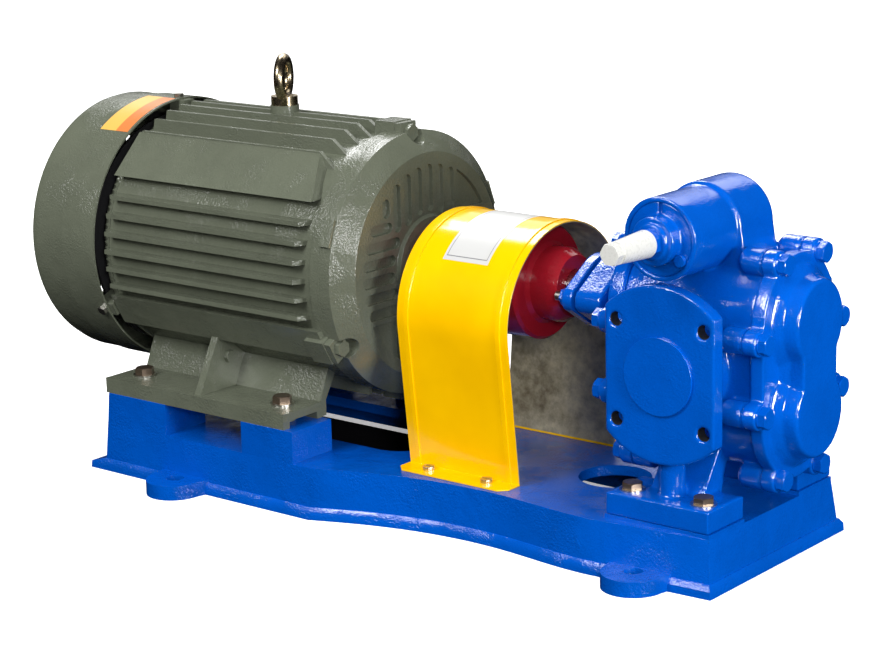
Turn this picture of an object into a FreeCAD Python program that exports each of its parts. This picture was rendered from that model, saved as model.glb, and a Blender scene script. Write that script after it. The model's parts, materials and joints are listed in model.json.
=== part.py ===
import FreeCAD, Part
import math
import os
from FreeCAD import Vector as V

# Gear pump set: a two-gear pump, a foot mounted motor, a pin coupling under a
# guard and a relief valve, all on one cast base. Millimetres. X runs along the
# shafts from the motor to the pump, Z is up, and the origin lies on the floor
# midway between the two foundation holes at the pump end.

# Shaft line
shaft_height = 250.0
port_x = 12.0
running_gap = 0.05
slip_gap = 0.3
end_gap = 0.1

# Gears
gear_module = 7.0
gear_teeth = 12
profile_shift = 0.5
pressure_angle = 20.0
flank_backlash = 0.12
root_factor = 1.25
tip_gap = 0.12

# Pump casing
body_length = 148.0
body_wall = 9.0
cover_thickness = 15.0
cover_rim = 6.0
ear_radius = 13.0
ear_length = 28.0
ear_chamfer = 6.0
cover_bolt_size = 12.0
cover_bolt_pitch_radius = 70.5
cover_bolt_upper_angle = 60.0
cover_bolt_side_angle = -7.5
rear_boss_depth = 23.0
front_boss_depth = 14.0
boss_face_radius = 43.0
boss_flare = 12.0
wear_plate_thickness = 20.0
bush_length = 20.0
bush_wall = 5.0
pump_shaft_diameter = 35.0
gasket_thickness = 0.5

# Ports
port_bore = 65.0
port_face_y = 109.0
port_flange_diameter = 176.0
port_flange_flats = 124.0
port_flange_thickness = 16.0
port_neck_diameter = 96.0
port_bolt_circle = 140.0
port_bolt_hole = 14.0
port_bolt_depth = 24.0
port_cap_diameter = 77.0
port_cap_rim = 3.0
port_cap_wall = 3.0
port_cap_depth = 14.0

# Pump feet
pump_foot_length = 117.0
pump_foot_thickness = 23.0
pump_foot_outer_y = 114.0
pump_foot_inner_y = 51.0
pump_foot_bolt_x = 82.0
pump_foot_bolt_inset = 20.0
pump_foot_bolt_size = 12.0
pump_column_diameter = 26.0
pump_column_y = 86.0
pump_web_length = 60.0

# Stuffing box and gland
stuffing_box_length = 30.0
stuffing_bore_wall = 9.0
gland_half_width = 60.0
gland_half_height = 38.0
gland_tip_radius = 13.0
gland_thickness = 12.0
gland_gap = 4.0
gland_nose = 8.0
gland_stud_y = 44.0
gland_stud_size = 10.0
gland_stud_depth = 16.0
packing_depth = 26.0
packing_rings = 3
packing_gap = 0.2
gland_travel = 3.0

# Relief valve
valve_rise = 87.5
chest_radius = 44.0
chest_foot_half_width = 50.0
chest_foot_rise = 50.0
chest_front_y = -34.0
chest_back_y = 33.0
chest_edge = 12.0
barrel_radius = 40.5
barrel_end_y = -107.0
bonnet_radius = 35.5
bonnet_recess = 1.5
bonnet_thickness = 14.0
bonnet_boss_radius = 23.5
bonnet_boss_length = 14.0
bonnet_neck_radius = 17.0
bonnet_neck_length = 3.0
bonnet_slot_width = 4.0
spring_chamber_radius = 26.0
valve_seat_y = 4.0
valve_throat_radius = 16.0
valve_throat_end_y = 26.0
poppet_head_radius = 22.0
poppet_head_thickness = 8.0
poppet_stem_radius = 13.0
poppet_spigot_radius = 11.0
poppet_spigot_length = 6.0
valve_lift = 12.0
spring_mean_radius = 17.0
spring_wire = 5.0
spring_turns = 5.5
spring_plate_radius = 22.0
spring_plate_thickness = 6.0
spring_plate_y = -74.0
screw_size = 16.0
screw_pitch = 2.0
screw_travel = 6.0
screw_projection = 44.0
lock_nut_flats = 24.0
lock_nut_height = 8.0
adjuster_cap_base_radius = 13.5
adjuster_cap_tip_radius = 11.0
adjuster_cap_length = 58.0
adjuster_cap_wall = 1.8
adjuster_cap_hexagon = 12.0
bonnet_screw_size = 6.0
bonnet_screw_head_radius = 5.8
bonnet_screw_head = 4.5
bonnet_screw_radius = 29.6
bonnet_screw_angle = -37.0

# Coupling
coupling_diameter = 120.0
coupling_flange_length = 42.5
coupling_hub_diameter = 78.0
coupling_gap = 4.0
coupling_chamfer = 3.0
pump_hub_length = 33.0
motor_hub_length = 60.0
pin_count = 6
pin_circle = 88.0
pin_size = 12.0
pin_thread = 34.0
sleeve_diameter = 22.0
sleeve_length = 28.0
pin_hole_depth = 33.0

# Coupling guard
guard_start_x = -318.0
guard_length = 143.0
guard_radius = 101.0
guard_centre_drop = 35.5
guard_foot_half_width = 85.0
guard_flange_half_width = 111.0
guard_sheet = 2.0
guard_bead_width = 6.0
guard_bead_height = 1.2
guard_bead_inset = 9.0
guard_corner = 9.0
guard_screw_size = 8.0
guard_screw_inset = 33.5
guard_screw_y = 96.0

# Motor
motor_shaft_end_x = -242.5
motor_shaft_diameter = 42.0
motor_shaft_extension = 110.0
motor_bearing_seat = 45.0
motor_bearing_outer = 100.0
motor_bearing_width = 25.0
motor_key_length = 90.0
motor_key_inset = 6.0
shoulder_to_foot_hole = 108.0
foot_hole_x = 210.0
foot_hole_y = 254.0
foot_hole = 15.0
foot_length = 270.0
foot_width = 318.0
foot_inner_y = 97.0
foot_thickness = 17.0
foot_wall = 10.0
foot_wall_drop = 104.0
foot_pocket_depth = 8.0
foot_rib_x = -566.0
earthing_y = 108.0
earthing_lift = 7.0
washer_diameter = 26.0
washer_thickness = 2.0
frame_start_x = -706.0
frame_end_x = -388.0
frame_radius = 137.0
frame_wall = 7.0
fin_height = 13.0
fin_pitch = 20.0
fin_thickness = 5.0
top_fins = 9
side_fins = 7
bottom_fins = 5
band_top_drop = 52.0
band_bottom_drop = 87.0
band_bottom_y = 121.0
fin_end_slope = 24.0
fin_ring_width = 22.0
frame_ring_rise = 6.0
lug_size = 30.0
lug_angles = (90.0, 210.0, 270.0, 330.0)
pad_angles = (22.0, 158.0)
lug_bolt_size = 10.0
lug_bolt_rise = 4.0
stator_length = 155.0
stator_depth = 45.0
air_gap = 0.5
winding_length = 36.0

# Drive end shield
shield_rim_length = 15.0
shield_lug_length = 8.0
shield_length = 32.0
shield_shoulder = 16.0
shield_groove_margin = 13.0
shield_groove_inner = 57.0
shield_groove_width = 11.5
shield_groove_pitch = 18.0
shield_groove_depth = 5.0
shield_groove_count = 7
shield_groove_first_y = -68.3
shield_upright_gap = -7.0
shield_level_gap = 9.0
shield_pocket_y = 51.0
shield_hub_radius = 54.0
shield_hub_height = 4.0
shield_wall = 8.0
spigot_length = 8.0

# Fan and cowl
cowl_front_x = -715.7
cowl_step_x = -768.0
cowl_back_x = -829.0
cowl_rise = 16.0
cowl_sheet = 2.0
cowl_step = 1.5
cowl_corner = 18.0
cowl_slot_rows = ((36.0, 62.0), (72.0, 98.0))
cowl_slot_count = 20
cowl_slot_width = 7.0
cowl_screw_size = 6.0
cowl_screw_angles = (90.0, 208.0, 332.0)
cowl_screw_inset = 8.0
fan_margin = 20.0
fan_blades = 8
fan_blade_thickness = 4.0
fan_blade_depth = 38.0
fan_plate = 4.0
fan_hub_radius = 28.0
fan_x = -772.0

# Terminal box and eyebolt
box_centre_x = -556.0
box_length = 130.0
box_height = 110.0
box_depth = 62.0
box_standoff = 21.0
box_lid = 16.0
box_wall = 6.0
cable_gland_size = 32.0
cable_gland_length = 34.0
cable_bore = 20.0
cable_gland_offset = 38.0
eyebolt_x = -558.0
eyebolt_seat_rise = 20.0
eye_outer = 54.0
eye_inner = 30.0
eye_shoulder = 30.0
eye_shoulder_height = 10.0
eye_turn = 118.0
eye_thread = 12.0
eye_thread_length = 18.0

# Base casting
deck_height = 55.0
pump_pad_height = 59.0
motor_pad_height = 90.0
base_motor_end_x = -724.0
base_kink_x = -393.0
base_waist_x = -199.0
base_swell_x = -60.0
base_pump_end_x = 81.0
base_motor_half_width = 167.0
base_waist_half_width = 123.0
base_swell_half_width = 134.0
base_pump_half_width = 126.0
base_rim_height = 13.0
base_rim_out = 4.0
base_motor_rim_out = 20.0
base_draft = 3.0
base_pump_draft = 8.0
base_wall = 11.0
pad_inner_y = 97.0
pad_rear_length = 92.0
pad_front_length = 74.0
pad_front_x = -418.0
pad_end_draft = 4.0
deck_opening_x = (-645.0, -334.0)
deck_opening_half_width = 66.0
deck_opening_corner = 45.0
deck_hole_x = -115.0
deck_hole_diameter = 76.0
foundation_x = -578.0
foundation_motor_y = 178.0
foundation_pump_y = 136.0
foundation_hole = 19.0
foundation_lug_radius = 32.0
foundation_lug_height = 16.0
foundation_lug_spread = 42.0

# Values that follow from the ones above
tan_a = math.tan(math.radians(pressure_angle))
involute_0 = tan_a - math.radians(pressure_angle)
working_involute = involute_0 + 2 * profile_shift * tan_a / gear_teeth


def inverse_involute(value):
    angle = 0.5
    for _ in range(40):
        angle -= (math.tan(angle) - angle - value) / math.tan(angle) ** 2
    return angle


working_angle = inverse_involute(working_involute)
pitch_radius = gear_module * gear_teeth / 2
base_radius = pitch_radius * math.cos(math.radians(pressure_angle))
centre_distance = 2 * base_radius / math.cos(working_angle)
root_radius = pitch_radius + gear_module * (profile_shift - root_factor)
tip_radius = centre_distance - root_radius - (root_factor - 1) * gear_module
upper_z = shaft_height
lower_z = shaft_height - centre_distance
port_z = (upper_z + lower_z) / 2
chamber_radius = tip_radius + tip_gap
body_radius = chamber_radius + body_wall
cover_radius = body_radius + cover_rim
half_body = body_length / 2
gear_width = body_length - 2 * wear_plate_thickness - 2 * end_gap
shaft_radius = pump_shaft_diameter / 2
bush_radius = shaft_radius + bush_wall
boss_base_radius = boss_face_radius + boss_flare

cover_joint = half_body + gasket_thickness
rear_cover_x = port_x + cover_joint
front_cover_x = port_x - cover_joint
front_boss_x = front_cover_x - cover_thickness - front_boss_depth
stuffing_face_x = front_boss_x - stuffing_box_length
gland_inner_x = stuffing_face_x - gland_gap
gland_outer_x = gland_inner_x - gland_thickness
stuffing_radius = shaft_radius + stuffing_bore_wall

coupling_radius = coupling_diameter / 2
pump_half_x = motor_shaft_end_x + coupling_gap
shoulder_x = motor_shaft_end_x - motor_shaft_extension
front_foot_x = shoulder_x - shoulder_to_foot_hole
rear_foot_x = front_foot_x - foot_hole_x
foot_centre_x = (front_foot_x + rear_foot_x) / 2
foot_top_z = motor_pad_height + foot_thickness
pump_foot_top_z = pump_pad_height + pump_foot_thickness
pump_foot_bolt_y = pump_foot_outer_y - pump_foot_bolt_inset
cowl_screw_x = cowl_front_x - cowl_screw_inset
valve_height = shaft_height + valve_rise
guard_centre_height = shaft_height - guard_centre_drop
frame_bore = 2 * (frame_radius - frame_wall)
fin_tip_radius = frame_radius + fin_height
frame_ring_radius = frame_radius + frame_ring_rise
lug_bolt_radius = frame_radius + lug_bolt_rise
band_top_z = shaft_height - band_top_drop
band_bottom_z = shaft_height - band_bottom_drop
foot_wall_z = shaft_height - foot_wall_drop
earthing_z = (foot_top_z + band_bottom_z) / 2 + earthing_lift
stator_bore = frame_bore - 2 * stator_depth
shield_face_radius = frame_radius - shield_shoulder
shield_groove_outer = shield_face_radius - shield_groove_margin
cowl_radius = frame_radius + cowl_rise
fan_radius = cowl_radius - fan_margin
box_face_y = frame_radius + box_standoff
eyebolt_seat_height = shaft_height + frame_radius + eyebolt_seat_rise
cable_gland_x = box_centre_x + cable_gland_offset
spring_front_y = spring_plate_y + spring_plate_thickness
spring_back_y = valve_seat_y - poppet_head_thickness
bonnet_face_y = barrel_end_y + bonnet_recess
bonnet_inner_y = bonnet_face_y + bonnet_thickness
bonnet_boss_y = bonnet_face_y - bonnet_boss_length
bonnet_end_y = bonnet_boss_y - bonnet_neck_length

X = V(1, 0, 0)
Y = V(0, 1, 0)
Z = V(0, 0, 1)


# Shape helpers
def box(x0, x1, y0, y1, z0, z1):
    return Part.makeBox(x1 - x0, y1 - y0, z1 - z0, V(x0, y0, z0))


def x_cylinder(radius, x0, x1, y=0.0, z=shaft_height):
    return Part.makeCylinder(radius, x1 - x0, V(x0, y, z), X)


def y_cylinder(radius, y0, y1, x=port_x, z=valve_height):
    return Part.makeCylinder(radius, y1 - y0, V(x, y0, z), Y)


def z_cylinder(radius, z0, z1, x, y):
    return Part.makeCylinder(radius, z1 - z0, V(x, y, z0), Z)


def polygon(points):
    return Part.Wire(Part.makePolygon([V(*p) for p in points] + [V(*points[0])]))


def prism(points, direction):
    return Part.Face(polygon(points)).extrude(direction)


def turned(profile, y=0.0, z=shaft_height):
    # A solid of revolution about a line along X; the profile lists x and radius.
    wire = polygon([(x, y, z + r) for x, r in profile])
    return Part.Face(wire).revolve(V(0, y, z), X, 360)


def turned_y(profile, x=port_x, z=valve_height):
    wire = polygon([(x, y, z + r) for y, r in profile])
    return Part.Face(wire).revolve(V(x, 0, z), Y, 360)


def fuse(shapes):
    whole = shapes[0]
    for shape in shapes[1:]:
        whole = whole.fuse(shape)
    return whole.removeSplitter()


def hexagon(flats, height, base, direction):
    corner = flats / math.sqrt(3)
    points = []
    for k in range(6):
        angle = math.radians(60 * k + 30)
        points.append((corner * math.cos(angle), corner * math.sin(angle), 0))
    solid = prism(points, V(0, 0, height))
    solid.Placement = FreeCAD.Placement(base, FreeCAD.Rotation(Z, direction))
    return solid


def hex_flats(size):
    return 1.5 * size + 0.8


def hex_bolt(size, grip, base, direction):
    # The base point lies under the head, and the head stands along direction.
    head = hexagon(hex_flats(size), 0.65 * size, base, direction)
    shank = Part.makeCylinder(size / 2, grip, base - direction * grip, direction)
    return head.fuse(shank)


def mirrored(shape):
    return shape.mirror(V(0, 0, 0), Y)


def turned_about_shaft(shape, angle):
    copy = shape.copy()
    copy.rotate(V(0, 0, shaft_height), X, angle)
    return copy


def pill(radius, x0, x1):
    # The outline round both gear axes, as a solid from x0 to x1.
    parts = [
        x_cylinder(radius, x0, x1, 0, upper_z),
        x_cylinder(radius, x0, x1, 0, lower_z),
        box(x0, x1, -radius, radius, lower_z, upper_z),
    ]
    return fuse(parts)


def figure_eight(radius, x0, x1):
    upper = x_cylinder(radius, x0, x1, 0, upper_z)
    lower = x_cylinder(radius, x0, x1, 0, lower_z)
    return upper.fuse(lower).removeSplitter()


def cover_bolt_places():
    places = []
    for angle in (cover_bolt_upper_angle, cover_bolt_side_angle):
        y = cover_bolt_pitch_radius * math.cos(math.radians(angle))
        rise = cover_bolt_pitch_radius * math.sin(math.radians(angle))
        for side in (-1, 1):
            places.append((side * y, upper_z + rise))
            places.append((side * y, lower_z - rise))
    return places


def casing_outline(radius, x0, x1):
    ears = [x_cylinder(ear_radius, x0, x1, y, z) for y, z in cover_bolt_places()]
    return fuse([pill(radius, x0, x1)] + ears)


# Base casting
def plan_outline(z, inset, motor_inset, pump_inset, pump_side_inset):
    # One closed outline of the base seen from above, at height z.
    xm = base_motor_end_x + motor_inset
    xp = base_pump_end_x - pump_inset
    wm = base_motor_half_width - inset
    ww = base_waist_half_width - inset
    ws = base_swell_half_width - inset
    wp = base_pump_half_width - pump_side_inset
    reach = (base_waist_x - base_kink_x) * 0.22
    span = (base_swell_x - base_waist_x) * 0.4
    sag = 0.39 * (wm - ww)
    edges = []
    for side in (-1, 1):
        kink = V(base_kink_x, side * wm, z)
        waist = V(base_waist_x, side * ww, z)
        swell = V(base_swell_x, side * ws, z)
        bend = Part.BezierCurve()
        bend.setPoles([kink, V(base_kink_x + reach, side * (wm - sag), z),
                       V(base_waist_x - 2.1 * reach, side * ww, z), waist])
        rise = Part.BezierCurve()
        rise.setPoles([waist, V(base_waist_x + span, side * ww, z),
                       V(base_swell_x - span, side * ws, z), swell])
        edges += [
            Part.makeLine(V(xm, side * wm, z), kink),
            bend.toShape(),
            rise.toShape(),
            Part.makeLine(swell, V(xp, side * wp, z)),
        ]
    edges.append(Part.makeLine(V(xm, -wm, z), V(xm, wm, z)))
    edges.append(Part.makeLine(V(xp, -wp, z), V(xp, wp, z)))
    return Part.Wire(Part.__sortEdges__(edges))


def plan_loft(low, high):
    # Each argument lists a height and the four insets of the outline there.
    return Part.makeLoft([plan_outline(*low), plan_outline(*high)], True, True)


def motor_pad(x0, x1, y0, y1, z0, z1, end_slope):
    # A block whose motor end leans by end_slope.
    points = [(x0, y0, z0), (x1, y0, z0), (x1, y0, z1), (x0 + end_slope, y0, z1)]
    return prism(points, V(0, y1 - y0, 0))


def foundation_lug(x, y):
    # A tongue that widens towards the wall of the base.
    side = -1 if y < 0 else 1
    wall_y = abs(y) - foundation_lug_radius * 1.3
    tip = z_cylinder(foundation_lug_radius, 0, foundation_lug_height, x, y)
    s = foundation_lug_spread
    r = foundation_lug_radius
    root = prism([(x - s, side * wall_y, 0), (x - r, y, 0), (x + r, y, 0),
                  (x + s, side * wall_y, 0)], V(0, 0, foundation_lug_height))
    return tip.fuse(root)


def deck_opening():
    x0, x1 = deck_opening_x
    w = deck_opening_half_width
    block = box(x0, x1, -w, w, -1, deck_height + 1)
    upright = [e for e in block.Edges if abs(e.Vertexes[0].Z - e.Vertexes[1].Z) > deck_height]
    return block.makeFillet(deck_opening_corner, upright)


def base_shell(wall, floor_z, top_z):
    # The drafted wall of the base, moved inwards by wall.
    side = base_rim_out + wall
    motor_end = base_motor_rim_out + wall
    return plan_loft((floor_z, side, motor_end, side, side),
                     (top_z, side + base_draft, motor_end + base_draft + 1,
                      side + base_draft + 2, side + base_pump_draft))


def base_casting():
    rim = plan_loft((0, 0, 0, 0, 0), (base_rim_height - 5, 0.5, 1, 0.5, 0.5))
    lip = plan_loft((base_rim_height - 5, 0.5, 1, 0.5, 0.5),
                    (base_rim_height, base_rim_out, base_motor_rim_out, base_rim_out,
                     base_rim_out))
    w = base_motor_half_width - base_rim_out - base_draft
    x0 = base_motor_end_x + base_motor_rim_out + base_draft + 1
    rear = motor_pad(x0, x0 + pad_rear_length, pad_inner_y, w, deck_height - 2,
                     motor_pad_height, pad_end_draft)
    front = box(pad_front_x - pad_front_length, pad_front_x, pad_inner_y, w,
                deck_height - 2, motor_pad_height)
    half_foot = pump_foot_length / 2
    pump_end = base_pump_end_x - base_rim_out - base_draft - 2
    pump_pad = box(port_x - half_foot - 2, pump_end, pump_foot_inner_y,
                   pump_foot_outer_y, deck_height - 2, pump_pad_height)
    solids = [rim, lip, base_shell(0, 0, deck_height)]
    for pad in (rear, front, pump_pad):
        solids += [pad, mirrored(pad)]
    for x, y in foundation_holes():
        solids.append(foundation_lug(x, y))
    casting = fuse(solids)
    inner = pad_inner_y + base_wall
    outer = w - base_wall
    depth = motor_pad_height - base_wall - 4
    rear_core = box(x0 + pad_end_draft + base_wall, x0 + pad_rear_length - base_wall, inner,
                    outer, 10, depth)
    front_core = box(pad_front_x - pad_front_length + base_wall, pad_front_x - base_wall,
                     inner, outer, 10, depth)
    cuts = [base_shell(base_wall, -1, deck_height - base_wall), deck_opening(),
            z_cylinder(deck_hole_diameter / 2, 0, deck_height + 1, deck_hole_x, 0)]
    for core in (rear_core, front_core):
        cuts += [core, mirrored(core)]
    for x, y in foundation_holes():
        cuts.append(z_cylinder(foundation_hole / 2, -1, foundation_lug_height + 1, x, y))
    for x, y in motor_foot_places():
        cuts.append(z_cylinder(pump_foot_bolt_size / 2, depth - 1, motor_pad_height + 1, x, y))
    for x, y in pump_foot_places():
        cuts.append(z_cylinder(pump_foot_bolt_size / 2, 30, pump_pad_height + 1, x, y))
    for x, y in guard_screw_places():
        cuts.append(z_cylinder(guard_screw_size / 2, 30, deck_height + 1, x, y))
    for cutter in cuts:
        casting = casting.cut(cutter)
    return casting.removeSplitter()


def foundation_holes():
    return [(x, side * y) for x, y in ((foundation_x, foundation_motor_y),
                                       (0.0, foundation_pump_y)) for side in (-1, 1)]


def motor_foot_places():
    return [(x, side * foot_hole_y / 2) for x in (rear_foot_x, front_foot_x)
            for side in (-1, 1)]


def pump_foot_places():
    half = pump_foot_bolt_x / 2
    return [(port_x + step, side * pump_foot_bolt_y) for step in (-half, half)
            for side in (-1, 1)]


def guard_screw_places():
    x0 = guard_start_x + guard_screw_inset
    x1 = guard_start_x + guard_length - guard_screw_inset
    return [(x, side * guard_screw_y) for x in (x0, x1) for side in (-1, 1)]


# Motor
def fin_positions(count):
    return [fin_pitch * (k - (count - 1) / 2) for k in range(count)]


def top_fin(y):
    # An upright fin with sloping ends, from the barrel to the tip circle.
    t = fin_thickness / 2
    tip = shaft_height + math.sqrt(fin_tip_radius ** 2 - y * y)
    foot = shaft_height + math.sqrt((frame_radius - 3) ** 2 - (abs(y) + t) ** 2)
    x0 = frame_start_x + 1
    x1 = frame_end_x - fin_ring_width
    points = [(x0, y - t, foot), (x1, y - t, foot), (x1 - fin_end_slope, y - t, tip),
              (x0 + 4, y - t, tip)]
    return prism(points, V(0, fin_thickness, 0))


def side_fin(height):
    t = fin_thickness / 2
    tip = math.sqrt(fin_tip_radius ** 2 - height * height)
    foot = math.sqrt((frame_radius - 3) ** 2 - (abs(height) + t) ** 2)
    x0 = frame_start_x + 1
    x1 = frame_end_x - fin_ring_width
    z = shaft_height + height - t
    points = [(x0, -foot, z), (x1, -foot, z), (x1 - fin_end_slope / 3, -tip, z),
              (x0 + 4, -tip, z)]
    return prism(points, V(0, 0, fin_thickness))


def corner_block():
    # The solid corner between the upright and the level fins, with one flat face.
    edge = fin_pitch * (top_fins - 1) / 2 + fin_thickness / 2
    low = fin_pitch * (side_fins + 1) / 2 + fin_thickness / 2
    top = math.sqrt(fin_tip_radius ** 2 - edge ** 2)
    out = math.sqrt(fin_tip_radius ** 2 - low ** 2)
    inner = frame_radius * 0.62
    x0 = frame_start_x + 1
    x1 = frame_end_x - fin_ring_width
    block = prism([(x0, -edge, shaft_height + top), (x0, -out, shaft_height + low),
                   (x0, -inner, shaft_height + low), (x0, -edge, shaft_height + inner)],
                  V(x1 - x0, 0, 0))
    slope = prism([(x1 - fin_end_slope, -fin_tip_radius, shaft_height + top + 1),
                   (x1 + 1, -fin_tip_radius, shaft_height + top + 1),
                   (x1 + 1, -fin_tip_radius, shaft_height + low)], V(0, fin_tip_radius, 0))
    return block.cut(slope)


def lower_band():
    # The thick flat band under the level fins, over the near foot.
    top = band_top_z - shaft_height
    out = math.sqrt(fin_tip_radius ** 2 - top ** 2)
    x0 = frame_start_x + 1
    x1 = frame_end_x - 6
    points = [(x0, -out, band_top_z), (x0, -band_bottom_y, band_bottom_z),
              (x0, -band_bottom_y + 19, band_bottom_z - 2), (x0, -out + 18, band_top_z)]
    return prism(points, V(x1 - x0, 0, 0))


def bottom_fin(y):
    t = fin_thickness / 2
    tip = shaft_height - math.sqrt(fin_tip_radius ** 2 - y * y)
    foot = shaft_height - math.sqrt((frame_radius - 3) ** 2 - (abs(y) + t) ** 2)
    x1 = frame_end_x - fin_ring_width
    return box(frame_start_x + 1, x1, y - t, y + t, tip, foot)


def motor_foot():
    # The near foot: a plate hollow underneath, a leaning wall and a cross rib.
    x0 = foot_centre_x - foot_length / 2
    x1 = foot_centre_x + foot_length / 2
    y0 = -foot_width / 2
    low = motor_pad_height
    plate = box(x0, x1, y0, -foot_inner_y, low, foot_top_z)
    pocket = box(x0 + 12, x1 + 1, y0 + foot_wall, -foot_inner_y - foot_wall + 2, low - 1,
                 low + foot_pocket_depth)
    plate = plate.cut(pocket)
    for x in (rear_foot_x, front_foot_x):
        boss = z_cylinder(foot_hole * 0.95, low, foot_top_z - 1, x, -foot_hole_y / 2)
        plate = plate.fuse(boss)
    root = -foot_inner_y
    wall = prism([(x0 + 2, root - 3, foot_top_z - 6), (x0 + 2, root + 17, foot_wall_z),
                  (x0 + 2, root + 29, foot_wall_z - 6), (x0 + 2, root + 9, foot_top_z),
                  (x0 + 2, root + 9, low), (x0 + 2, root - 1, low)],
                 V(foot_length - 4, 0, 0))
    rib = prism([(foot_rib_x, y0 + 5, foot_top_z - 1),
                 (foot_rib_x, -band_bottom_y - 2, band_bottom_z + 3),
                 (foot_rib_x, -band_bottom_y + 21, band_bottom_z + 7),
                 (foot_rib_x, root + 19, foot_wall_z - 6), (foot_rib_x, root, foot_top_z - 1)],
                V(foot_wall - 1, 0, 0))
    foot = fuse([plate, wall, rib])
    for x in (rear_foot_x, front_foot_x):
        hole = z_cylinder(foot_hole / 2, low - 1, foot_top_z + 1, x, -foot_hole_y / 2)
        foot = foot.cut(hole)
    return foot


def shaft_lug(angle, x0, x1, size, reach):
    # A square lug that stands out of a round rim at the given angle.
    block = box(x0, x1, frame_radius - 10, reach, shaft_height - size / 2,
                shaft_height + size / 2)
    return turned_about_shaft(block, angle)


def motor_frame():
    barrel = x_cylinder(frame_radius, frame_start_x, frame_end_x)
    ring = x_cylinder(frame_ring_radius, frame_end_x - 12, frame_end_x)
    solids = [barrel, ring]
    for y in fin_positions(top_fins):
        solids.append(top_fin(y))
    for height in fin_positions(side_fins)[1:]:
        fin = side_fin(height)
        solids += [fin, mirrored(fin)]
    for y in fin_positions(bottom_fins):
        solids.append(bottom_fin(y))
    for piece in (corner_block(), lower_band()):
        solids += [piece, mirrored(piece)]
    foot = motor_foot()
    solids += [foot, mirrored(foot)]
    for angle in lug_angles:
        solids.append(shaft_lug(angle, frame_end_x - 26, frame_end_x, lug_size,
                                lug_bolt_radius + 12))
    solids.append(z_cylinder(eye_shoulder / 2 + 1, shaft_height + frame_radius - 17,
                             eyebolt_seat_height, eyebolt_x, 0))
    half = box_length / 2 - 12
    solids.append(box(box_centre_x - half, box_centre_x + half, frame_radius - 8, box_face_y,
                      shaft_height - box_height / 2 + 12, shaft_height + box_height / 2 - 12))
    frame = fuse(solids)
    bore = x_cylinder(frame_bore / 2, frame_start_x - 1, frame_end_x + 1)
    frame = frame.cut(bore)
    thread = z_cylinder(eye_thread / 2, eyebolt_seat_height - eye_thread_length - 4,
                        eyebolt_seat_height + 1, eyebolt_x, 0)
    frame = frame.cut(thread)
    return frame.removeSplitter()


def shield_profile():
    # Section of the drive end shield: x and radius, outside first.
    face = frame_end_x + shield_length
    rim = frame_end_x + shield_rim_length
    seat = motor_bearing_outer / 2
    neck = motor_shaft_diameter / 2 + 6
    inner = face - shield_wall - shield_groove_depth
    spigot = frame_bore / 2
    seat_end = face - 6
    seat_start = seat_end - motor_bearing_width
    return [
        (frame_end_x, frame_ring_radius), (rim, frame_ring_radius),
        (face - 3, shield_face_radius + 4), (face, shield_face_radius),
        (face, shield_hub_radius), (face + shield_hub_height, shield_hub_radius - 2),
        (face + shield_hub_height, neck), (seat_end, neck), (seat_end, seat),
        (seat_start, seat), (seat_start, seat + shield_wall),
        (inner, seat + shield_wall + 3), (inner, shield_face_radius - shield_wall),
        (rim - shield_wall, spigot - shield_wall), (frame_end_x - spigot_length,
                                                    spigot - shield_wall),
        (frame_end_x - spigot_length, spigot), (frame_end_x, spigot),
    ]


def shield_grooves(front_x, first, gap):
    # Upright grooves with round ends, from the diagonal on the left to the pocket.
    half = shield_groove_width / 2
    grooves = []
    for k in range(first, shield_groove_count):
        y = shield_groove_first_y + shield_groove_pitch * k
        high = math.sqrt(shield_groove_outer ** 2 - (abs(y) + half / 2) ** 2)
        hub = math.sqrt(max(0.0, shield_groove_inner ** 2 - y ** 2))
        z0 = shaft_height + max(gap - y, hub) + half
        z1 = shaft_height + high - half
        ends = (front_x - shield_groove_depth, front_x + 1)
        groove = box(*ends, y - half, y + half, z0, z1)
        grooves.append(fuse([groove, x_cylinder(half, *ends, y, z0),
                             x_cylinder(half, *ends, y, z1)]))
    return grooves


def shield_recesses(front_x):
    # Upright grooves above the hub, level ones beside it and a corner pocket between.
    ends = (front_x - shield_groove_depth, front_x + 1)
    c = shield_pocket_y
    reach = shield_groove_outer
    pocket = box(*ends, c, reach, shaft_height + c, shaft_height + reach)
    recesses = [pocket.common(x_cylinder(reach, *ends))]
    recesses += shield_grooves(front_x, 0, shield_upright_gap)
    for groove in shield_grooves(front_x, 1, shield_level_gap):
        recesses.append(turned_about_shaft(mirrored(groove), 90))
    return recesses


def drive_end_shield():
    face = frame_end_x + shield_length
    rim = frame_end_x + shield_rim_length
    solids = [turned(shield_profile())]
    for angle in lug_angles:
        solids.append(shaft_lug(angle, frame_end_x, frame_end_x + shield_lug_length,
                                lug_size - 4, lug_bolt_radius + 11))
    for angle in pad_angles:
        solids.append(shaft_lug(angle, frame_end_x, rim - 1, lug_size, lug_bolt_radius + 5))
    shield = fuse(solids)
    hollow = x_cylinder(frame_bore / 2 - shield_wall, frame_end_x - 1, rim - shield_wall)
    shield = shield.cut(hollow.cut(x_cylinder(motor_bearing_outer / 2 + shield_wall + 4,
                                              frame_end_x - 2, rim)))
    for angle in lug_angles:
        seat = x_cylinder(lug_size / 2 - 3, frame_end_x + shield_lug_length, face + 1,
                          lug_bolt_radius)
        shield = shield.cut(turned_about_shaft(seat, angle))
    for recess in shield_recesses(face):
        shield = shield.cut(recess)
        shield = shield.cut(turned_about_shaft(recess, 180))
    return shield


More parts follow.
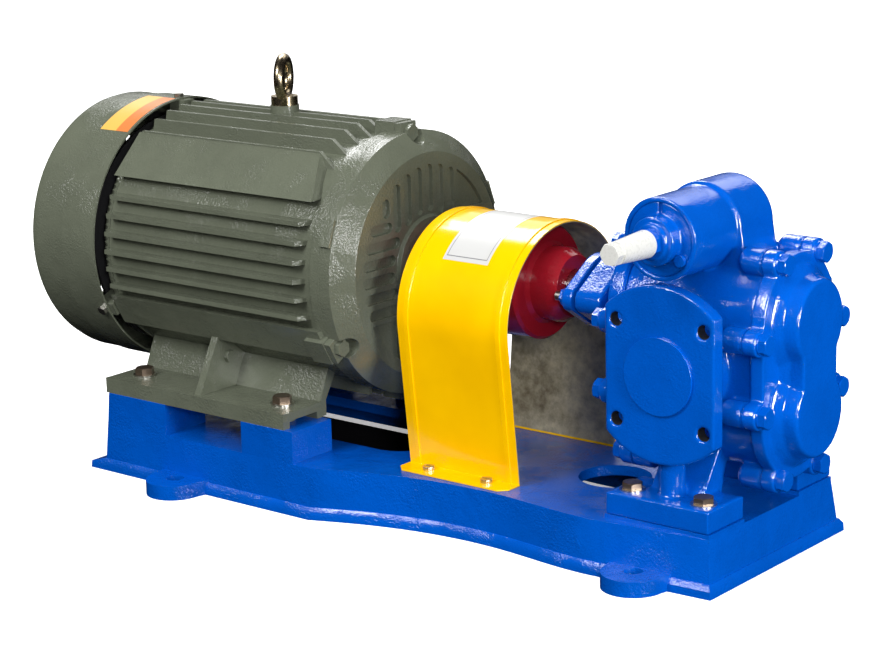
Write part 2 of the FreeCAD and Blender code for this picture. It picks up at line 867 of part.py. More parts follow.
def rear_end_shield():
    seat = motor_bearing_outer / 2
    x = frame_start_x
    inner = x + spigot_length
    wall = 9.0
    profile = [
        (inner, frame_bore / 2), (x, frame_bore / 2), (x, frame_radius + 1),
        (x - wall, frame_radius - 1), (x - wall - 4, seat + 14), (x - wall - 18, seat + 8),
        (x - wall - 18, motor_bearing_seat / 2 + 3), (x - wall - 12, motor_bearing_seat / 2 + 3),
        (x - wall - 12, seat), (x - wall - 12 + motor_bearing_width, seat),
        (x - wall - 12 + motor_bearing_width, seat + 8), (x, seat + 14),
        (x, frame_bore / 2 - wall), (inner, frame_bore / 2 - wall),
    ]
    shield = turned(profile)
    lugs = []
    for angle in cowl_screw_angles:
        lug = box(cowl_screw_x - 7, x - 1, frame_radius - 14, cowl_radius - cowl_sheet,
                  shaft_height - 8, shaft_height + 8)
        lug = lug.common(x_cylinder(cowl_radius - cowl_sheet, cowl_screw_x - 8, x))
        lugs.append(turned_about_shaft(lug, angle))
    shield = fuse([shield] + lugs)
    for angle in cowl_screw_angles:
        hole = Part.makeCylinder(cowl_screw_size / 2, 20, V(cowl_screw_x, cowl_radius - 14,
                                                            shaft_height), Y)
        shield = shield.cut(turned_about_shaft(hole, angle))
    return shield


def bearing(x0):
    # A sealed ball bearing as one ring, with a shallow groove on each side.
    inner = motor_bearing_seat / 2 + running_gap
    outer = motor_bearing_outer / 2
    x1 = x0 + motor_bearing_width
    dip = 1.5
    profile = [
        (x0, inner), (x0, inner + 6), (x0 + dip, inner + 7), (x0 + dip, outer - 7),
        (x0, outer - 6), (x0, outer), (x1, outer), (x1, outer - 6), (x1 - dip, outer - 7),
        (x1 - dip, inner + 7), (x1, inner + 6), (x1, inner),
    ]
    return turned(profile)


def stator():
    centre = (frame_start_x + frame_end_x) / 2
    x0 = centre - stator_length / 2
    x1 = centre + stator_length / 2
    bore = stator_bore / 2
    outer = frame_bore / 2
    coil_out = outer - 12
    coil_in = bore + 8
    profile = [
        (x0, bore), (x0, coil_in), (x0 - winding_length, coil_in + 3),
        (x0 - winding_length, coil_out - 3), (x0, coil_out), (x0, outer), (x1, outer),
        (x1, coil_out), (x1 + winding_length, coil_out - 3), (x1 + winding_length, coil_in + 3),
        (x1, coil_in), (x1, bore),
    ]
    return turned(profile)


def rotor_core():
    centre = (frame_start_x + frame_end_x) / 2
    x0 = centre - stator_length / 2
    x1 = centre + stator_length / 2
    outer = stator_bore / 2 - air_gap
    ring = 12.0
    profile = [
        (x0, 26), (x0, outer - 22), (x0 - ring, outer - 20), (x0 - ring, outer - 4),
        (x0, outer - 2), (x0, outer), (x1, outer), (x1, outer - 2), (x1 + ring, outer - 4),
        (x1 + ring, outer - 20), (x1, outer - 22), (x1, 26),
    ]
    return turned(profile)


def motor_shaft():
    seat = motor_bearing_seat / 2
    end = motor_shaft_end_x
    rear_seat = frame_start_x - 21
    fan_end = fan_x - 6
    profile = [
        (fan_end, 0), (fan_end, seat - 3), (rear_seat - 2, seat - 3), (rear_seat - 2, seat),
        (frame_start_x + 8, seat), (frame_start_x + 8, 26), (frame_end_x - 12, 26),
        (frame_end_x - 12, seat), (shoulder_x, seat), (shoulder_x, motor_shaft_diameter / 2),
        (end - 1, motor_shaft_diameter / 2), (end, motor_shaft_diameter / 2 - 1), (end, 0),
    ]
    shaft = turned(profile)
    return shaft.cut(motor_key())


def key_block(x0, x1, radius, width, height):
    # A parallel key half sunk into a shaft of the given radius.
    sink = 0.6 * height
    return box(x0, x1, -width / 2, width / 2, shaft_height + radius - sink,
               shaft_height + radius - sink + height)


def fan():
    hub = x_cylinder(fan_hub_radius, fan_x, fan_x + fan_blade_depth)
    plate = x_cylinder(fan_radius, fan_x + fan_blade_depth - fan_plate, fan_x + fan_blade_depth)
    solids = [hub, plate]
    for k in range(fan_blades):
        blade = box(fan_x, fan_x + fan_blade_depth - 1, fan_hub_radius - 2, fan_radius,
                    shaft_height - fan_blade_thickness / 2,
                    shaft_height + fan_blade_thickness / 2)
        solids.append(turned_about_shaft(blade, 360.0 * k / fan_blades))
    wheel = fuse(solids)
    bore = x_cylinder(motor_bearing_seat / 2 - 3, fan_x - 1, fan_x + fan_blade_depth + 1)
    return wheel.cut(bore)


def fan_cowl():
    r = cowl_radius
    t = cowl_sheet
    rear = r - cowl_step
    c = cowl_corner
    bend = []
    for k in range(4):
        angle = math.radians(90 - 30 * k)
        bend.append((angle, cowl_back_x + c - c * math.cos(angle), rear - c + c * math.sin(angle)))
    outside = [(cowl_front_x, r), (cowl_step_x, r), (cowl_step_x, rear)]
    outside += [(x, rad) for _, x, rad in bend]
    inside = [(cowl_back_x + t, 0), (cowl_back_x + t, rear - c)]
    ci = c - t
    for angle, _, _ in reversed(bend[:-1]):
        inside.append((cowl_back_x + c - ci * math.cos(angle), rear - c + ci * math.sin(angle)))
    inside += [(cowl_step_x + t, rear - t), (cowl_step_x + t, r - t), (cowl_front_x, r - t)]
    profile = outside + [(cowl_back_x, 0)] + inside
    cowl = turned(profile)
    slots = []
    for row, (inner, outer) in enumerate(cowl_slot_rows):
        for k in range(cowl_slot_count):
            slot = box(cowl_back_x - 1, cowl_back_x + t + 1, inner, outer,
                       shaft_height - cowl_slot_width / 2, shaft_height + cowl_slot_width / 2)
            turn = 360.0 * (k + 0.5 * (row % 2)) / cowl_slot_count
            slots.append(turned_about_shaft(slot, turn))
    cowl = cowl.cut(Part.makeCompound(slots))
    for angle in cowl_screw_angles:
        hole = Part.makeCylinder(cowl_screw_size / 2, 20, V(cowl_screw_x, r - 10, shaft_height), Y)
        cowl = cowl.cut(turned_about_shaft(hole, angle))
    return cowl


def cowl_screws():
    screws = []
    for angle in cowl_screw_angles:
        base = V(cowl_screw_x, cowl_radius, shaft_height)
        screws.append(turned_about_shaft(hex_bolt(cowl_screw_size, 10, base, Y), angle))
    return Part.makeCompound(screws)


def terminal_box():
    half = box_length / 2
    low = shaft_height - box_height / 2
    high = shaft_height + box_height / 2
    y1 = box_face_y + box_depth
    shell = box(box_centre_x - half, box_centre_x + half, box_face_y, y1, low, high)
    upright = [e for e in shell.Edges if abs(e.Vertexes[0].Y - e.Vertexes[1].Y) > 1]
    shell = shell.makeFillet(14, upright)
    cavity = box(box_centre_x - half + box_wall, box_centre_x + half - box_wall,
                 box_face_y + box_wall, y1 + 1, low + box_wall, high - box_wall)
    entry = z_cylinder(cable_gland_size / 2, low - 1, low + box_wall + 1, cable_gland_x,
                       box_face_y + box_depth / 2)
    return shell.cut(cavity).cut(entry)


def terminal_box_lid():
    half = box_length / 2
    low = shaft_height - box_height / 2
    high = shaft_height + box_height / 2
    y0 = box_face_y + box_depth
    lid = box(box_centre_x - half, box_centre_x + half, y0, y0 + box_lid, low, high)
    upright = [e for e in lid.Edges if abs(e.Vertexes[0].Y - e.Vertexes[1].Y) > 1]
    lid = lid.makeFillet(14, upright)
    rim = [e for e in lid.Edges if e.Vertexes[0].Y > y0 + box_lid - 0.1
           and e.Vertexes[-1].Y > y0 + box_lid - 0.1]
    return lid.makeChamfer(5, rim)


def cable_gland():
    low = shaft_height - box_height / 2
    x = cable_gland_x
    y = box_face_y + box_depth / 2
    sleeve = z_cylinder(cable_gland_size / 2, low - cable_gland_length, low + box_wall, x, y)
    collar = hexagon(cable_gland_size + 8, 9, V(x, y, low - 9), Z)
    nut = hexagon(cable_gland_size + 5, 12, V(x, y, low - cable_gland_length + 4), Z)
    gland = fuse([sleeve, collar, nut])
    return gland.cut(z_cylinder(cable_bore / 2, low - cable_gland_length - 1,
                                low + box_wall + 1, x, y))


def eyebolt():
    seat = eyebolt_seat_height
    shoulder = z_cylinder(eye_shoulder / 2, seat, seat + eye_shoulder_height, eyebolt_x, 0)
    thread = z_cylinder(eye_thread / 2, seat - eye_thread_length, seat, eyebolt_x, 0)
    wire = (eye_outer - eye_inner) / 4
    mean = (eye_outer + eye_inner) / 4
    centre = V(eyebolt_x, 0, seat + eye_shoulder_height + mean - 1)
    turn = math.radians(eye_turn)
    ring = Part.makeTorus(mean, wire, centre, V(-math.sin(turn), math.cos(turn), 0))
    return fuse([shoulder, thread, ring])


def end_shield_bolts():
    bolts = []
    for angle in lug_angles:
        base = V(frame_end_x + shield_lug_length, lug_bolt_radius, shaft_height)
        bolts.append(turned_about_shaft(hexagon(hex_flats(lug_bolt_size), 6.5, base, X), angle))
    return Part.makeCompound(bolts)


# Coupling
def coupling_half(x_face, direction, hub_length, bore, hub_end_radius):
    # direction is +1 for the half whose hub points to the pump.
    flange_end = x_face + direction * coupling_flange_length
    hub_end = flange_end + direction * hub_length
    c = coupling_chamfer
    hub = coupling_hub_diameter / 2
    profile = [
        (x_face, bore), (x_face, coupling_radius - c), (x_face + direction * c, coupling_radius),
        (flange_end - direction * c, coupling_radius), (flange_end, coupling_radius - c),
        (flange_end, hub + 4), (flange_end + direction * 4, hub),
        (hub_end - direction * 12, hub_end_radius + 3),
        (hub_end, hub_end_radius - 4), (hub_end, bore),
    ]
    return turned(profile)


def pin_places():
    places = []
    for k in range(pin_count):
        angle = 2 * math.pi * (k + 0.5) / pin_count
        places.append((pin_circle / 2 * math.cos(angle),
                       shaft_height + pin_circle / 2 * math.sin(angle)))
    return places


def pump_coupling_half():
    half = coupling_half(pump_half_x, 1, pump_hub_length, shaft_radius, 36)
    for y, z in pin_places():
        half = half.cut(x_cylinder(sleeve_diameter / 2 + slip_gap, pump_half_x - 1,
                                   pump_half_x + pin_hole_depth, y, z))
    return half.cut(pump_key())


def motor_coupling_half():
    half = coupling_half(motor_shaft_end_x, -1, motor_hub_length, motor_shaft_diameter / 2, 39)
    for y, z in pin_places():
        half = half.cut(x_cylinder(pin_size / 2, motor_shaft_end_x - pin_thread,
                                   motor_shaft_end_x + 1, y, z))
    return half.cut(motor_key())


def motor_key():
    end = motor_shaft_end_x - motor_key_inset
    return key_block(end - motor_key_length, end, motor_shaft_diameter / 2, 12, 8)


def pump_key():
    return key_block(pump_half_x + 4, pump_half_x + coupling_flange_length + 24, shaft_radius,
                     10, 8)


def coupling_pins():
    # Each pin is screwed into the motor half and carries a sleeve behind a collar.
    pins = []
    tip = pump_half_x + sleeve_length + 2
    for y, z in pin_places():
        pin = x_cylinder(pin_size / 2, motor_shaft_end_x - pin_thread, tip, y, z)
        collar = x_cylinder(sleeve_diameter / 2 - 1.5, tip - 2, tip, y, z)
        pins.append(fuse([pin, collar]))
    return Part.makeCompound(pins)


def coupling_sleeves():
    sleeves = []
    for y, z in pin_places():
        tube = x_cylinder(sleeve_diameter / 2, pump_half_x, pump_half_x + sleeve_length, y, z)
        hole = x_cylinder(pin_size / 2, pump_half_x - 1, pump_half_x + sleeve_length + 1, y, z)
        sleeves.append(tube.cut(hole))
    return Part.makeCompound(sleeves)


# Guard
def guard_arch(offset, x0, x1):
    # The space under the guard's outer face, moved outwards by offset.
    radius = guard_radius + offset
    foot = guard_foot_half_width + offset
    drop = guard_centre_height - deck_height
    reach = math.hypot(foot, drop)
    # Tangent from the foot to the arch.
    tilt = math.asin(min(1.0, radius / reach)) - math.atan2(foot, drop)
    touch_y = radius * math.cos(tilt)
    touch_z = guard_centre_height - radius * math.sin(tilt)
    arc = Part.Arc(V(x0, touch_y, touch_z), V(x0, 0, guard_centre_height + radius),
                   V(x0, -touch_y, touch_z))
    lines = [
        Part.makeLine(V(x0, -touch_y, touch_z), V(x0, -foot, deck_height)),
        Part.makeLine(V(x0, -foot, deck_height), V(x0, foot, deck_height)),
        Part.makeLine(V(x0, foot, deck_height), V(x0, touch_y, touch_z)),
    ]
    face = Part.Face(Part.Wire([arc.toShape()] + lines))
    return face.extrude(V(x1 - x0, 0, 0))


def coupling_guard():
    x0 = guard_start_x
    x1 = guard_start_x + guard_length
    solids = [guard_arch(0, x0, x1)]
    for start in (x0 + guard_bead_inset, x1 - guard_bead_inset - guard_bead_width):
        solids.append(guard_arch(guard_bead_height, start, start + guard_bead_width))
    shell = fuse(solids).cut(guard_arch(-guard_sheet, x0 - 1, x1 + 1))
    top = deck_height + guard_sheet
    inner = guard_foot_half_width - 1
    outer = guard_flange_half_width
    c = guard_corner
    foot = prism([(x0, inner, deck_height), (x1, inner, deck_height),
                  (x1, outer - c, deck_height), (x1 - c, outer, deck_height),
                  (x0 + c, outer, deck_height), (x0, outer - c, deck_height)],
                 V(0, 0, guard_sheet))
    guard = fuse([shell, foot, mirrored(foot)])
    for x, y in guard_screw_places():
        guard = guard.cut(z_cylinder(guard_screw_size / 2 + 0.5, deck_height - 1, top + 1, x, y))
    return guard


def guard_screws():
    top = deck_height + guard_sheet
    screws = []
    for x, y in guard_screw_places():
        shank = z_cylinder(guard_screw_size / 2, deck_height - base_wall, top, x, y)
        head = z_cylinder(guard_screw_size * 0.8, top, top + 4, x, y)
        screw = shank.fuse(head)
        slot = box(x - 10, x + 10, y - 0.8, y + 0.8, top + 2, top + 5)
        screws.append(screw.cut(slot))
    return Part.makeCompound(screws)


# Gears
def involute_point(angle_from_start, radius):
    # Polar angle of the involute at a radius, measured from its start.
    inv = math.sqrt((radius / base_radius) ** 2 - 1)
    return inv - math.atan(inv) + angle_from_start


def gear_outline(turn):
    # One closed outline of all teeth about the origin of the YZ plane.
    thickness = gear_module * (math.pi / 2 + 2 * profile_shift * tan_a) - flank_backlash
    half_angle = thickness / (2 * pitch_radius) + involute_0
    flank_start = max(base_radius, root_radius)
    steps = 5
    radii = [flank_start + (tip_radius - flank_start) * k / steps for k in range(steps + 1)]
    step = 2 * math.pi / gear_teeth
    edges = []

    def at(radius, angle):
        return V(0, radius * math.cos(angle), radius * math.sin(angle))

    for k in range(gear_teeth):
        centre = turn + step * k
        right = [at(r, centre - half_angle + involute_point(0, r)) for r in radii]
        left = [at(r, centre + half_angle - involute_point(0, r)) for r in radii]
        root_right = at(root_radius, centre - half_angle)
        root_left = at(root_radius, centre + half_angle)
        edges.append(Part.makeLine(root_right, right[0]))
        flank = Part.BSplineCurve()
        flank.interpolate(right)
        edges.append(flank.toShape())
        edges.append(Part.makeLine(right[-1], left[-1]))
        flank = Part.BSplineCurve()
        flank.interpolate(left[::-1])
        edges.append(flank.toShape())
        edges.append(Part.makeLine(left[0], root_left))
        gap_mid = at(root_radius, centre + step / 2)
        next_root = at(root_radius, centre + step - half_angle)
        edges.append(Part.Arc(root_left, gap_mid, next_root).toShape())
    return Part.Wire(edges)


def gear(z, turn):
    face = Part.Face(gear_outline(turn))
    solid = face.extrude(V(gear_width, 0, 0))
    solid.translate(V(port_x - gear_width / 2, 0, z))
    bore = x_cylinder(shaft_radius, port_x - gear_width, port_x + gear_width, 0, z)
    return solid.cut(bore)


def drive_gear():
    # A tooth points straight down, into a gap of the driven gear.
    return gear(upper_z, -math.pi / 2)


def driven_gear():
    return gear(lower_z, math.pi / 2 + math.pi / gear_teeth)


def drive_shaft():
    rear_end = rear_cover_x + bush_length
    front_end = pump_half_x
    c = 1.0
    profile = [
        (front_end, 0), (front_end, shaft_radius - c), (front_end + c, shaft_radius),
        (rear_end - c, shaft_radius), (rear_end, shaft_radius - c), (rear_end, 0),
    ]
    return turned(profile).cut(pump_key())


def driven_shaft():
    front_end = front_cover_x - bush_length
    rear_end = rear_cover_x + bush_length
    c = 1.0
    profile = [
        (front_end, 0), (front_end, shaft_radius - c), (front_end + c, shaft_radius),
        (rear_end - c, shaft_radius), (rear_end, shaft_radius - c), (rear_end, 0),
    ]
    return turned(profile, 0, lower_z)


# Pump casing
def port_flange():
    # The near port: neck, flange with flats and its flat sides to left and right.
    radius = port_flange_diameter / 2
    back = -port_face_y + port_flange_thickness
    disc = y_cylinder(radius, -port_face_y, back, port_x, port_z)
    half = port_flange_flats / 2
    slab = box(port_x - half, port_x + half, -port_face_y - 1, back + 1, port_z - radius - 1,
               port_z + radius + 1)
    neck = y_cylinder(port_neck_diameter / 2, -port_face_y + 2, 0, port_x, port_z)
    return disc.common(slab).fuse(neck)


def port_cuts():
    cuts = [y_cylinder(port_bore / 2, -port_face_y - 1, 0, port_x, port_z)]
    pitch = port_bolt_circle / 2 / math.sqrt(2)
    for sx in (-1, 1):
        for sz in (-1, 1):
            cuts.append(y_cylinder(port_bolt_hole / 2, -port_face_y - 1,
                                   -port_face_y + port_bolt_depth, port_x + sx * pitch,
                                   port_z + sz * pitch))
    return cuts


def pump_feet():
    half = pump_foot_length / 2
    plate = box(port_x - half, port_x + half, -pump_foot_outer_y, -pump_foot_inner_y,
                pump_pad_height, pump_foot_top_z)
    column = z_cylinder(pump_column_diameter / 2, pump_pad_height + 5, port_z - 40, port_x,
                        -pump_column_y)
    half_web = pump_web_length / 2
    web_z = lower_z - body_radius * 0.6
    web = prism([(port_x - half_web, -pump_foot_outer_y + 34, pump_foot_top_z - 2),
                 (port_x - half_web, -body_radius * 0.75, web_z + 6),
                 (port_x - half_web, -body_radius * 0.5, web_z - 6),
                 (port_x - half_web, -pump_foot_inner_y, pump_pad_height)],
                V(pump_web_length, 0, 0))
    near = fuse([plate, column, web])
    return [near, mirrored(near)]


def valve_chest():
    # An arch over flared legs, rounded at its far end, and the valve's barrel.
    low = upper_z + body_radius * 0.5
    foot = upper_z + chest_foot_rise
    legs = prism([(port_x - chest_radius, chest_front_y, valve_height),
                  (port_x + chest_radius, chest_front_y, valve_height),
                  (port_x + chest_foot_half_width, chest_front_y, foot),
                  (port_x + chest_foot_half_width, chest_front_y, low),
                  (port_x - chest_foot_half_width, chest_front_y, low),
                  (port_x - chest_foot_half_width, chest_front_y, foot)],
                 V(0, chest_back_y - chest_front_y, 0))
    arch = y_cylinder(chest_radius, chest_front_y, chest_back_y)
    chest = fuse([arch, legs])
    rim = [e for e in chest.Edges if min(v.Y for v in e.Vertexes) > chest_back_y - 0.1
           and max(v.Z for v in e.Vertexes) > low + 1]
    chest = chest.makeFillet(chest_edge, rim)
    barrel = y_cylinder(barrel_radius, barrel_end_y, chest_front_y + 5)
    return [chest, barrel]


def bolt_bosses(x_face, direction):
    # Short round bosses behind the joint face, one for each cover bolt.
    end = x_face + direction * ear_length
    bend = end - direction * ear_chamfer
    profile = [(x_face, 0), (x_face, ear_radius), (bend, ear_radius),
               (end, ear_radius - ear_chamfer), (end, 0)]
    return [turned(profile, y, z) for y, z in cover_bolt_places()]


def pump_body():
    x0 = port_x - half_body
    x1 = port_x + half_body
    solids = [pill(body_radius, x0, x1)] + bolt_bosses(x0, 1) + bolt_bosses(x1, -1)
    solids += [port_flange(), mirrored(port_flange())] + pump_feet() + valve_chest()
    body = fuse(solids)
    cuts = [figure_eight(chamber_radius, x0 - 1, x1 + 1)]
    for cutter in port_cuts():
        cuts += [cutter, mirrored(cutter)]
    cuts += [
        y_cylinder(bonnet_radius, barrel_end_y - 1, bonnet_inner_y),
        y_cylinder(spring_chamber_radius, bonnet_inner_y - 1, valve_seat_y),
        y_cylinder(valve_throat_radius, valve_seat_y - 1, valve_throat_end_y),
    ]
    for x, y in pump_foot_places():
        cuts.append(z_cylinder(pump_foot_bolt_size / 2 + 0.5, pump_pad_height - 1,
                               pump_foot_top_z + 1, x, y))
    for cutter in cuts:
        body = body.cut(cutter)
    return body.removeSplitter()


def boss(x0, depth, direction):
    # A raised figure-eight boss with flared sides.
    r0 = boss_base_radius
    r1 = boss_face_radius
    parts = []
    for z in (upper_z, lower_z):
        profile = [(x0, 0), (x0, r0), (x0 + direction * depth * 0.4, r1 + 3),
                   (x0 + direction * (depth - 2), r1), (x0 + direction * depth, r1 - 2),
                   (x0 + direction * depth, 0)]
        parts.append(turned(profile, 0, z))
    waist = 0.72
    y0 = r0 * waist
    y1 = r1 * waist
    far = x0 + direction * depth
    mid = x0 + direction * depth * 0.4
    profile = [(x0, -y0, lower_z), (x0, y0, lower_z), (mid, y1 + 2, lower_z),
               (far, y1, lower_z), (far, -y1, lower_z), (mid, -y1 - 2, lower_z)]
    parts.append(prism(profile, V(0, 0, upper_z - lower_z)))
    return fuse(parts)


def rear_cover():
    x0 = rear_cover_x
    x1 = x0 + cover_thickness
    cover = casing_outline(cover_radius, x0, x1).fuse(boss(x1, rear_boss_depth, 1))
    for z in (upper_z, lower_z):
        cover = cover.cut(x_cylinder(bush_radius, x0 - 1, x0 + bush_length + 2, 0, z))
    return cover.removeSplitter()


def rhombus(x0, x1):
    # The oval outline shared by the stuffing box and the gland.
    tip = gland_half_width - gland_tip_radius
    r = gland_tip_radius
    h = gland_half_height
    tilt = math.asin((h - r) / tip)
    quarter = [(h * math.sin(tilt), h * math.cos(tilt)),
               (tip + r * math.sin(tilt), r * math.cos(tilt))]
    hull = []
    for y, z in quarter + [(y, -z) for y, z in reversed(quarter)]:
        hull.append((x0, y, shaft_height + z))
    for y, z in [(-y, -z) for y, z in quarter] + [(-y, z) for y, z in reversed(quarter)]:
        hull.append((x0, y, shaft_height + z))
    solids = [x_cylinder(h, x0, x1), prism(hull, V(x1 - x0, 0, 0))]
    for side in (-1, 1):
        solids.append(x_cylinder(r, x0, x1, side * tip, shaft_height))
    return fuse(solids)


def front_cover():
    x1 = front_cover_x
    x0 = x1 - cover_thickness
    solids = [casing_outline(cover_radius, x0, x1), boss(x0, front_boss_depth, -1),
              rhombus(stuffing_face_x, front_boss_x + 1)]
    cover = fuse(solids)
    cuts = [
        x_cylinder(bush_radius, x1 - bush_length, x1 + 1, 0, upper_z),
        x_cylinder(bush_radius, x1 - bush_length - 2, x1 + 1, 0, lower_z),
        x_cylinder(shaft_radius + 0.5, stuffing_face_x - 1, x1 + 1),
        x_cylinder(stuffing_radius, stuffing_face_x - 1, stuffing_face_x + packing_depth
                   + gland_nose),
    ]
    for side in (-1, 1):
        cuts.append(x_cylinder(gland_stud_size / 2, stuffing_face_x - 1,
                               stuffing_face_x + gland_stud_depth, side * gland_stud_y))
    for cutter in cuts:
        cover = cover.cut(cutter)
    return cover.removeSplitter()


def gland():
    flange = rhombus(gland_outer_x, gland_inner_x)
    nose_end = stuffing_face_x + gland_nose - packing_gap
    nose = x_cylinder(stuffing_radius - 0.2, gland_inner_x - 1, nose_end)
    part = flange.fuse(nose)
    part = part.cut(x_cylinder(shaft_radius + 0.4, gland_outer_x - 1, nose_end + 1))
    for side in (-1, 1):
        part = part.cut(x_cylinder(gland_stud_size / 2 + slip_gap, gland_outer_x - 1,
                                   gland_inner_x + 1, side * gland_stud_y))
    return part


def gland_studs():
    end = gland_outer_x - 16
    studs = []
    for side in (-1, 1):
        studs.append(x_cylinder(gland_stud_size / 2, end, stuffing_face_x + gland_stud_depth,
                                side * gland_stud_y))
    return Part.makeCompound(studs)


def gland_nuts():
    nuts = []
    for side in (-1, 1):
        y = side * gland_stud_y
        nut = hexagon(hex_flats(gland_stud_size), 8, V(gland_outer_x - 8, y, shaft_height), X)
        hole = x_cylinder(gland_stud_size / 2 + slip_gap, gland_outer_x - 9, gland_outer_x + 1, y)
        nuts.append(nut.cut(hole))
    return Part.makeCompound(nuts)


def packing():
    start = stuffing_face_x + gland_nose
    pitch = packing_depth / packing_rings
    rings = []
    for k in range(packing_rings):
        x0 = start + pitch * k
        ring = x_cylinder(stuffing_radius, x0, x0 + pitch - packing_gap)
        bore = x_cylinder(shaft_radius + running_gap, x0 - 1, x0 + pitch)
        rings.append(ring.cut(bore))
    return Part.makeCompound(rings)


def bush(x0, z):
    tube = x_cylinder(bush_radius, x0, x0 + bush_length, 0, z)
    return tube.cut(x_cylinder(shaft_radius + running_gap, x0 - 1, x0 + bush_length + 1, 0, z))


def bushes(x0):
    return Part.makeCompound([bush(x0, upper_z), bush(x0, lower_z)])


def wear_plate(x0):
    plate = figure_eight(chamber_radius, x0, x0 + wear_plate_thickness)
    for z in (upper_z, lower_z):
        plate = plate.cut(x_cylinder(shaft_radius + slip_gap, x0 - 1,
                                     x0 + wear_plate_thickness + 1, 0, z))
    return plate


def gasket(x0):
    sheet = casing_outline(body_radius, x0, x0 + gasket_thickness)
    return sheet.cut(figure_eight(chamber_radius, x0 - 1, x0 + 1))


def cover_bolts():
    bolts = []
    rear = rear_cover_x + cover_thickness
    front = front_cover_x - cover_thickness
    flats = hex_flats(cover_bolt_size)
    for y, z in cover_bolt_places():
        bolts.append(hexagon(flats, 8, V(rear, y, z), X))
        bolts.append(hexagon(flats, 8, V(front, y, z), -X))
    return Part.makeCompound(bolts)


def pump_foot_bolts():
    bolts = []
    for x, y in pump_foot_places():
        bolts.append(hex_bolt(pump_foot_bolt_size, pump_foot_thickness + 14,
                              V(x, y, pump_foot_top_z), Z))
    return Part.makeCompound(bolts)


def motor_foot_bolts():
    bolts = []
    top = foot_top_z + washer_thickness
    for x, y in motor_foot_places():
        bolts.append(hex_bolt(pump_foot_bolt_size, foot_thickness + 18, V(x, y, top), Z))
    return Part.makeCompound(bolts)


def motor_foot_washers():
    washers = []
    for x, y in motor_foot_places():
        top = foot_top_z + washer_thickness
        disc = z_cylinder(washer_diameter / 2, foot_top_z, top, x, y)
        hole = z_cylinder(pump_foot_bolt_size / 2, foot_top_z - 1, top + 1, x, y)
        washers.append(disc.cut(hole))
    return Part.makeCompound(washers)


def earthing_screw():
    # A hex screw on the cross rib of the near foot.
    base = V(foot_rib_x + foot_wall - 1, -earthing_y, earthing_z)
    return hexagon(hex_flats(8), 5, base, X)


def port_cap():
    # A blanking cap: a thin disc on the flange with a hollow spigot in the bore.
    face = -port_face_y
    disc = y_cylinder(port_cap_diameter / 2, face - port_cap_rim, face, port_x, port_z)
    spigot = y_cylinder(port_bore / 2 - 0.2, face - 1, face + port_cap_depth, port_x, port_z)
    hollow = y_cylinder(port_bore / 2 - port_cap_wall, face, face + port_cap_depth + 1, port_x,
                        port_z)
    return disc.fuse(spigot).cut(hollow)


# Relief valve
def valve_bonnet():
    profile = [
        (bonnet_inner_y, 0), (bonnet_inner_y, bonnet_radius), (bonnet_face_y, bonnet_radius),
        (bonnet_face_y, bonnet_boss_radius), (bonnet_boss_y, bonnet_boss_radius),
        (bonnet_boss_y, bonnet_neck_radius), (bonnet_end_y, bonnet_neck_radius),
        (bonnet_end_y, 0),
    ]
    bonnet = turned_y(profile)
    bonnet = bonnet.cut(y_cylinder(screw_size / 2 + running_gap, bonnet_end_y - 1,
                                   bonnet_inner_y + 1))
    slot = box(port_x - bonnet_slot_width / 2, port_x + bonnet_slot_width / 2,
               bonnet_face_y - 1, bonnet_face_y + 4, valve_height + bonnet_boss_radius,
               valve_height + bonnet_radius + 1)
    x, z = bonnet_screw_place()
    hole = y_cylinder(bonnet_screw_size / 2, bonnet_face_y - 1, bonnet_face_y + 9, x, z)
    return bonnet.cut(slot).cut(hole)


def valve_poppet():
    y0 = spring_back_y
    profile = [
        (y0 - poppet_spigot_length, 0), (y0 - poppet_spigot_length, poppet_spigot_radius),
        (y0, poppet_spigot_radius), (y0, poppet_head_radius),
        (valve_seat_y, poppet_head_radius), (valve_seat_y, poppet_stem_radius),
        (valve_throat_end_y - 4, poppet_stem_radius), (valve_throat_end_y - 4, 0),
    ]
    return turned_y(profile)


def relief_spring():
    # Closed between the poppet and the spring plate, square wire.
    height = spring_back_y - spring_front_y
    pitch = (height - spring_wire) / spring_turns
    helix = Part.makeHelix(pitch, height - spring_wire, spring_mean_radius)
    half = spring_wire / 2
    corner = [(spring_mean_radius - half, 0, -half), (spring_mean_radius + half, 0, -half),
              (spring_mean_radius + half, 0, half), (spring_mean_radius - half, 0, half)]
    wire = polygon(corner)
    coil = Part.Wire(helix.Edges).makePipeShell([wire], True, True)
    place = FreeCAD.Placement(V(port_x, spring_front_y + half, valve_height),
                              FreeCAD.Rotation(Z, Y))
    coil.Placement = place
    return coil


def spring_plate():
    profile = [
        (spring_plate_y, 0), (spring_plate_y, spring_plate_radius),
        (spring_front_y, spring_plate_radius), (spring_front_y, poppet_spigot_radius),
        (spring_front_y + poppet_spigot_length, poppet_spigot_radius),
        (spring_front_y + poppet_spigot_length, 0),
    ]
    return turned_y(profile)


def adjusting_screw():
    end = bonnet_end_y - screw_projection
    screw = y_cylinder(screw_size / 2, end, spring_plate_y)
    flats = screw_size * 0.35
    for side in (-1, 1):
        low = port_x + side * flats if side > 0 else port_x - screw_size
        high = port_x + screw_size if side > 0 else port_x + side * flats
        screw = screw.cut(box(low, high, end - 1, end + 9, valve_height - screw_size,
                              valve_height + screw_size))
    return screw


def lock_nut():
    nut = hexagon(lock_nut_flats, lock_nut_height,
                  V(port_x, bonnet_end_y - lock_nut_height, valve_height), Y)
    return nut.cut(y_cylinder(screw_size / 2 + running_gap, bonnet_end_y - lock_nut_height - 1,
                              bonnet_end_y + 1))


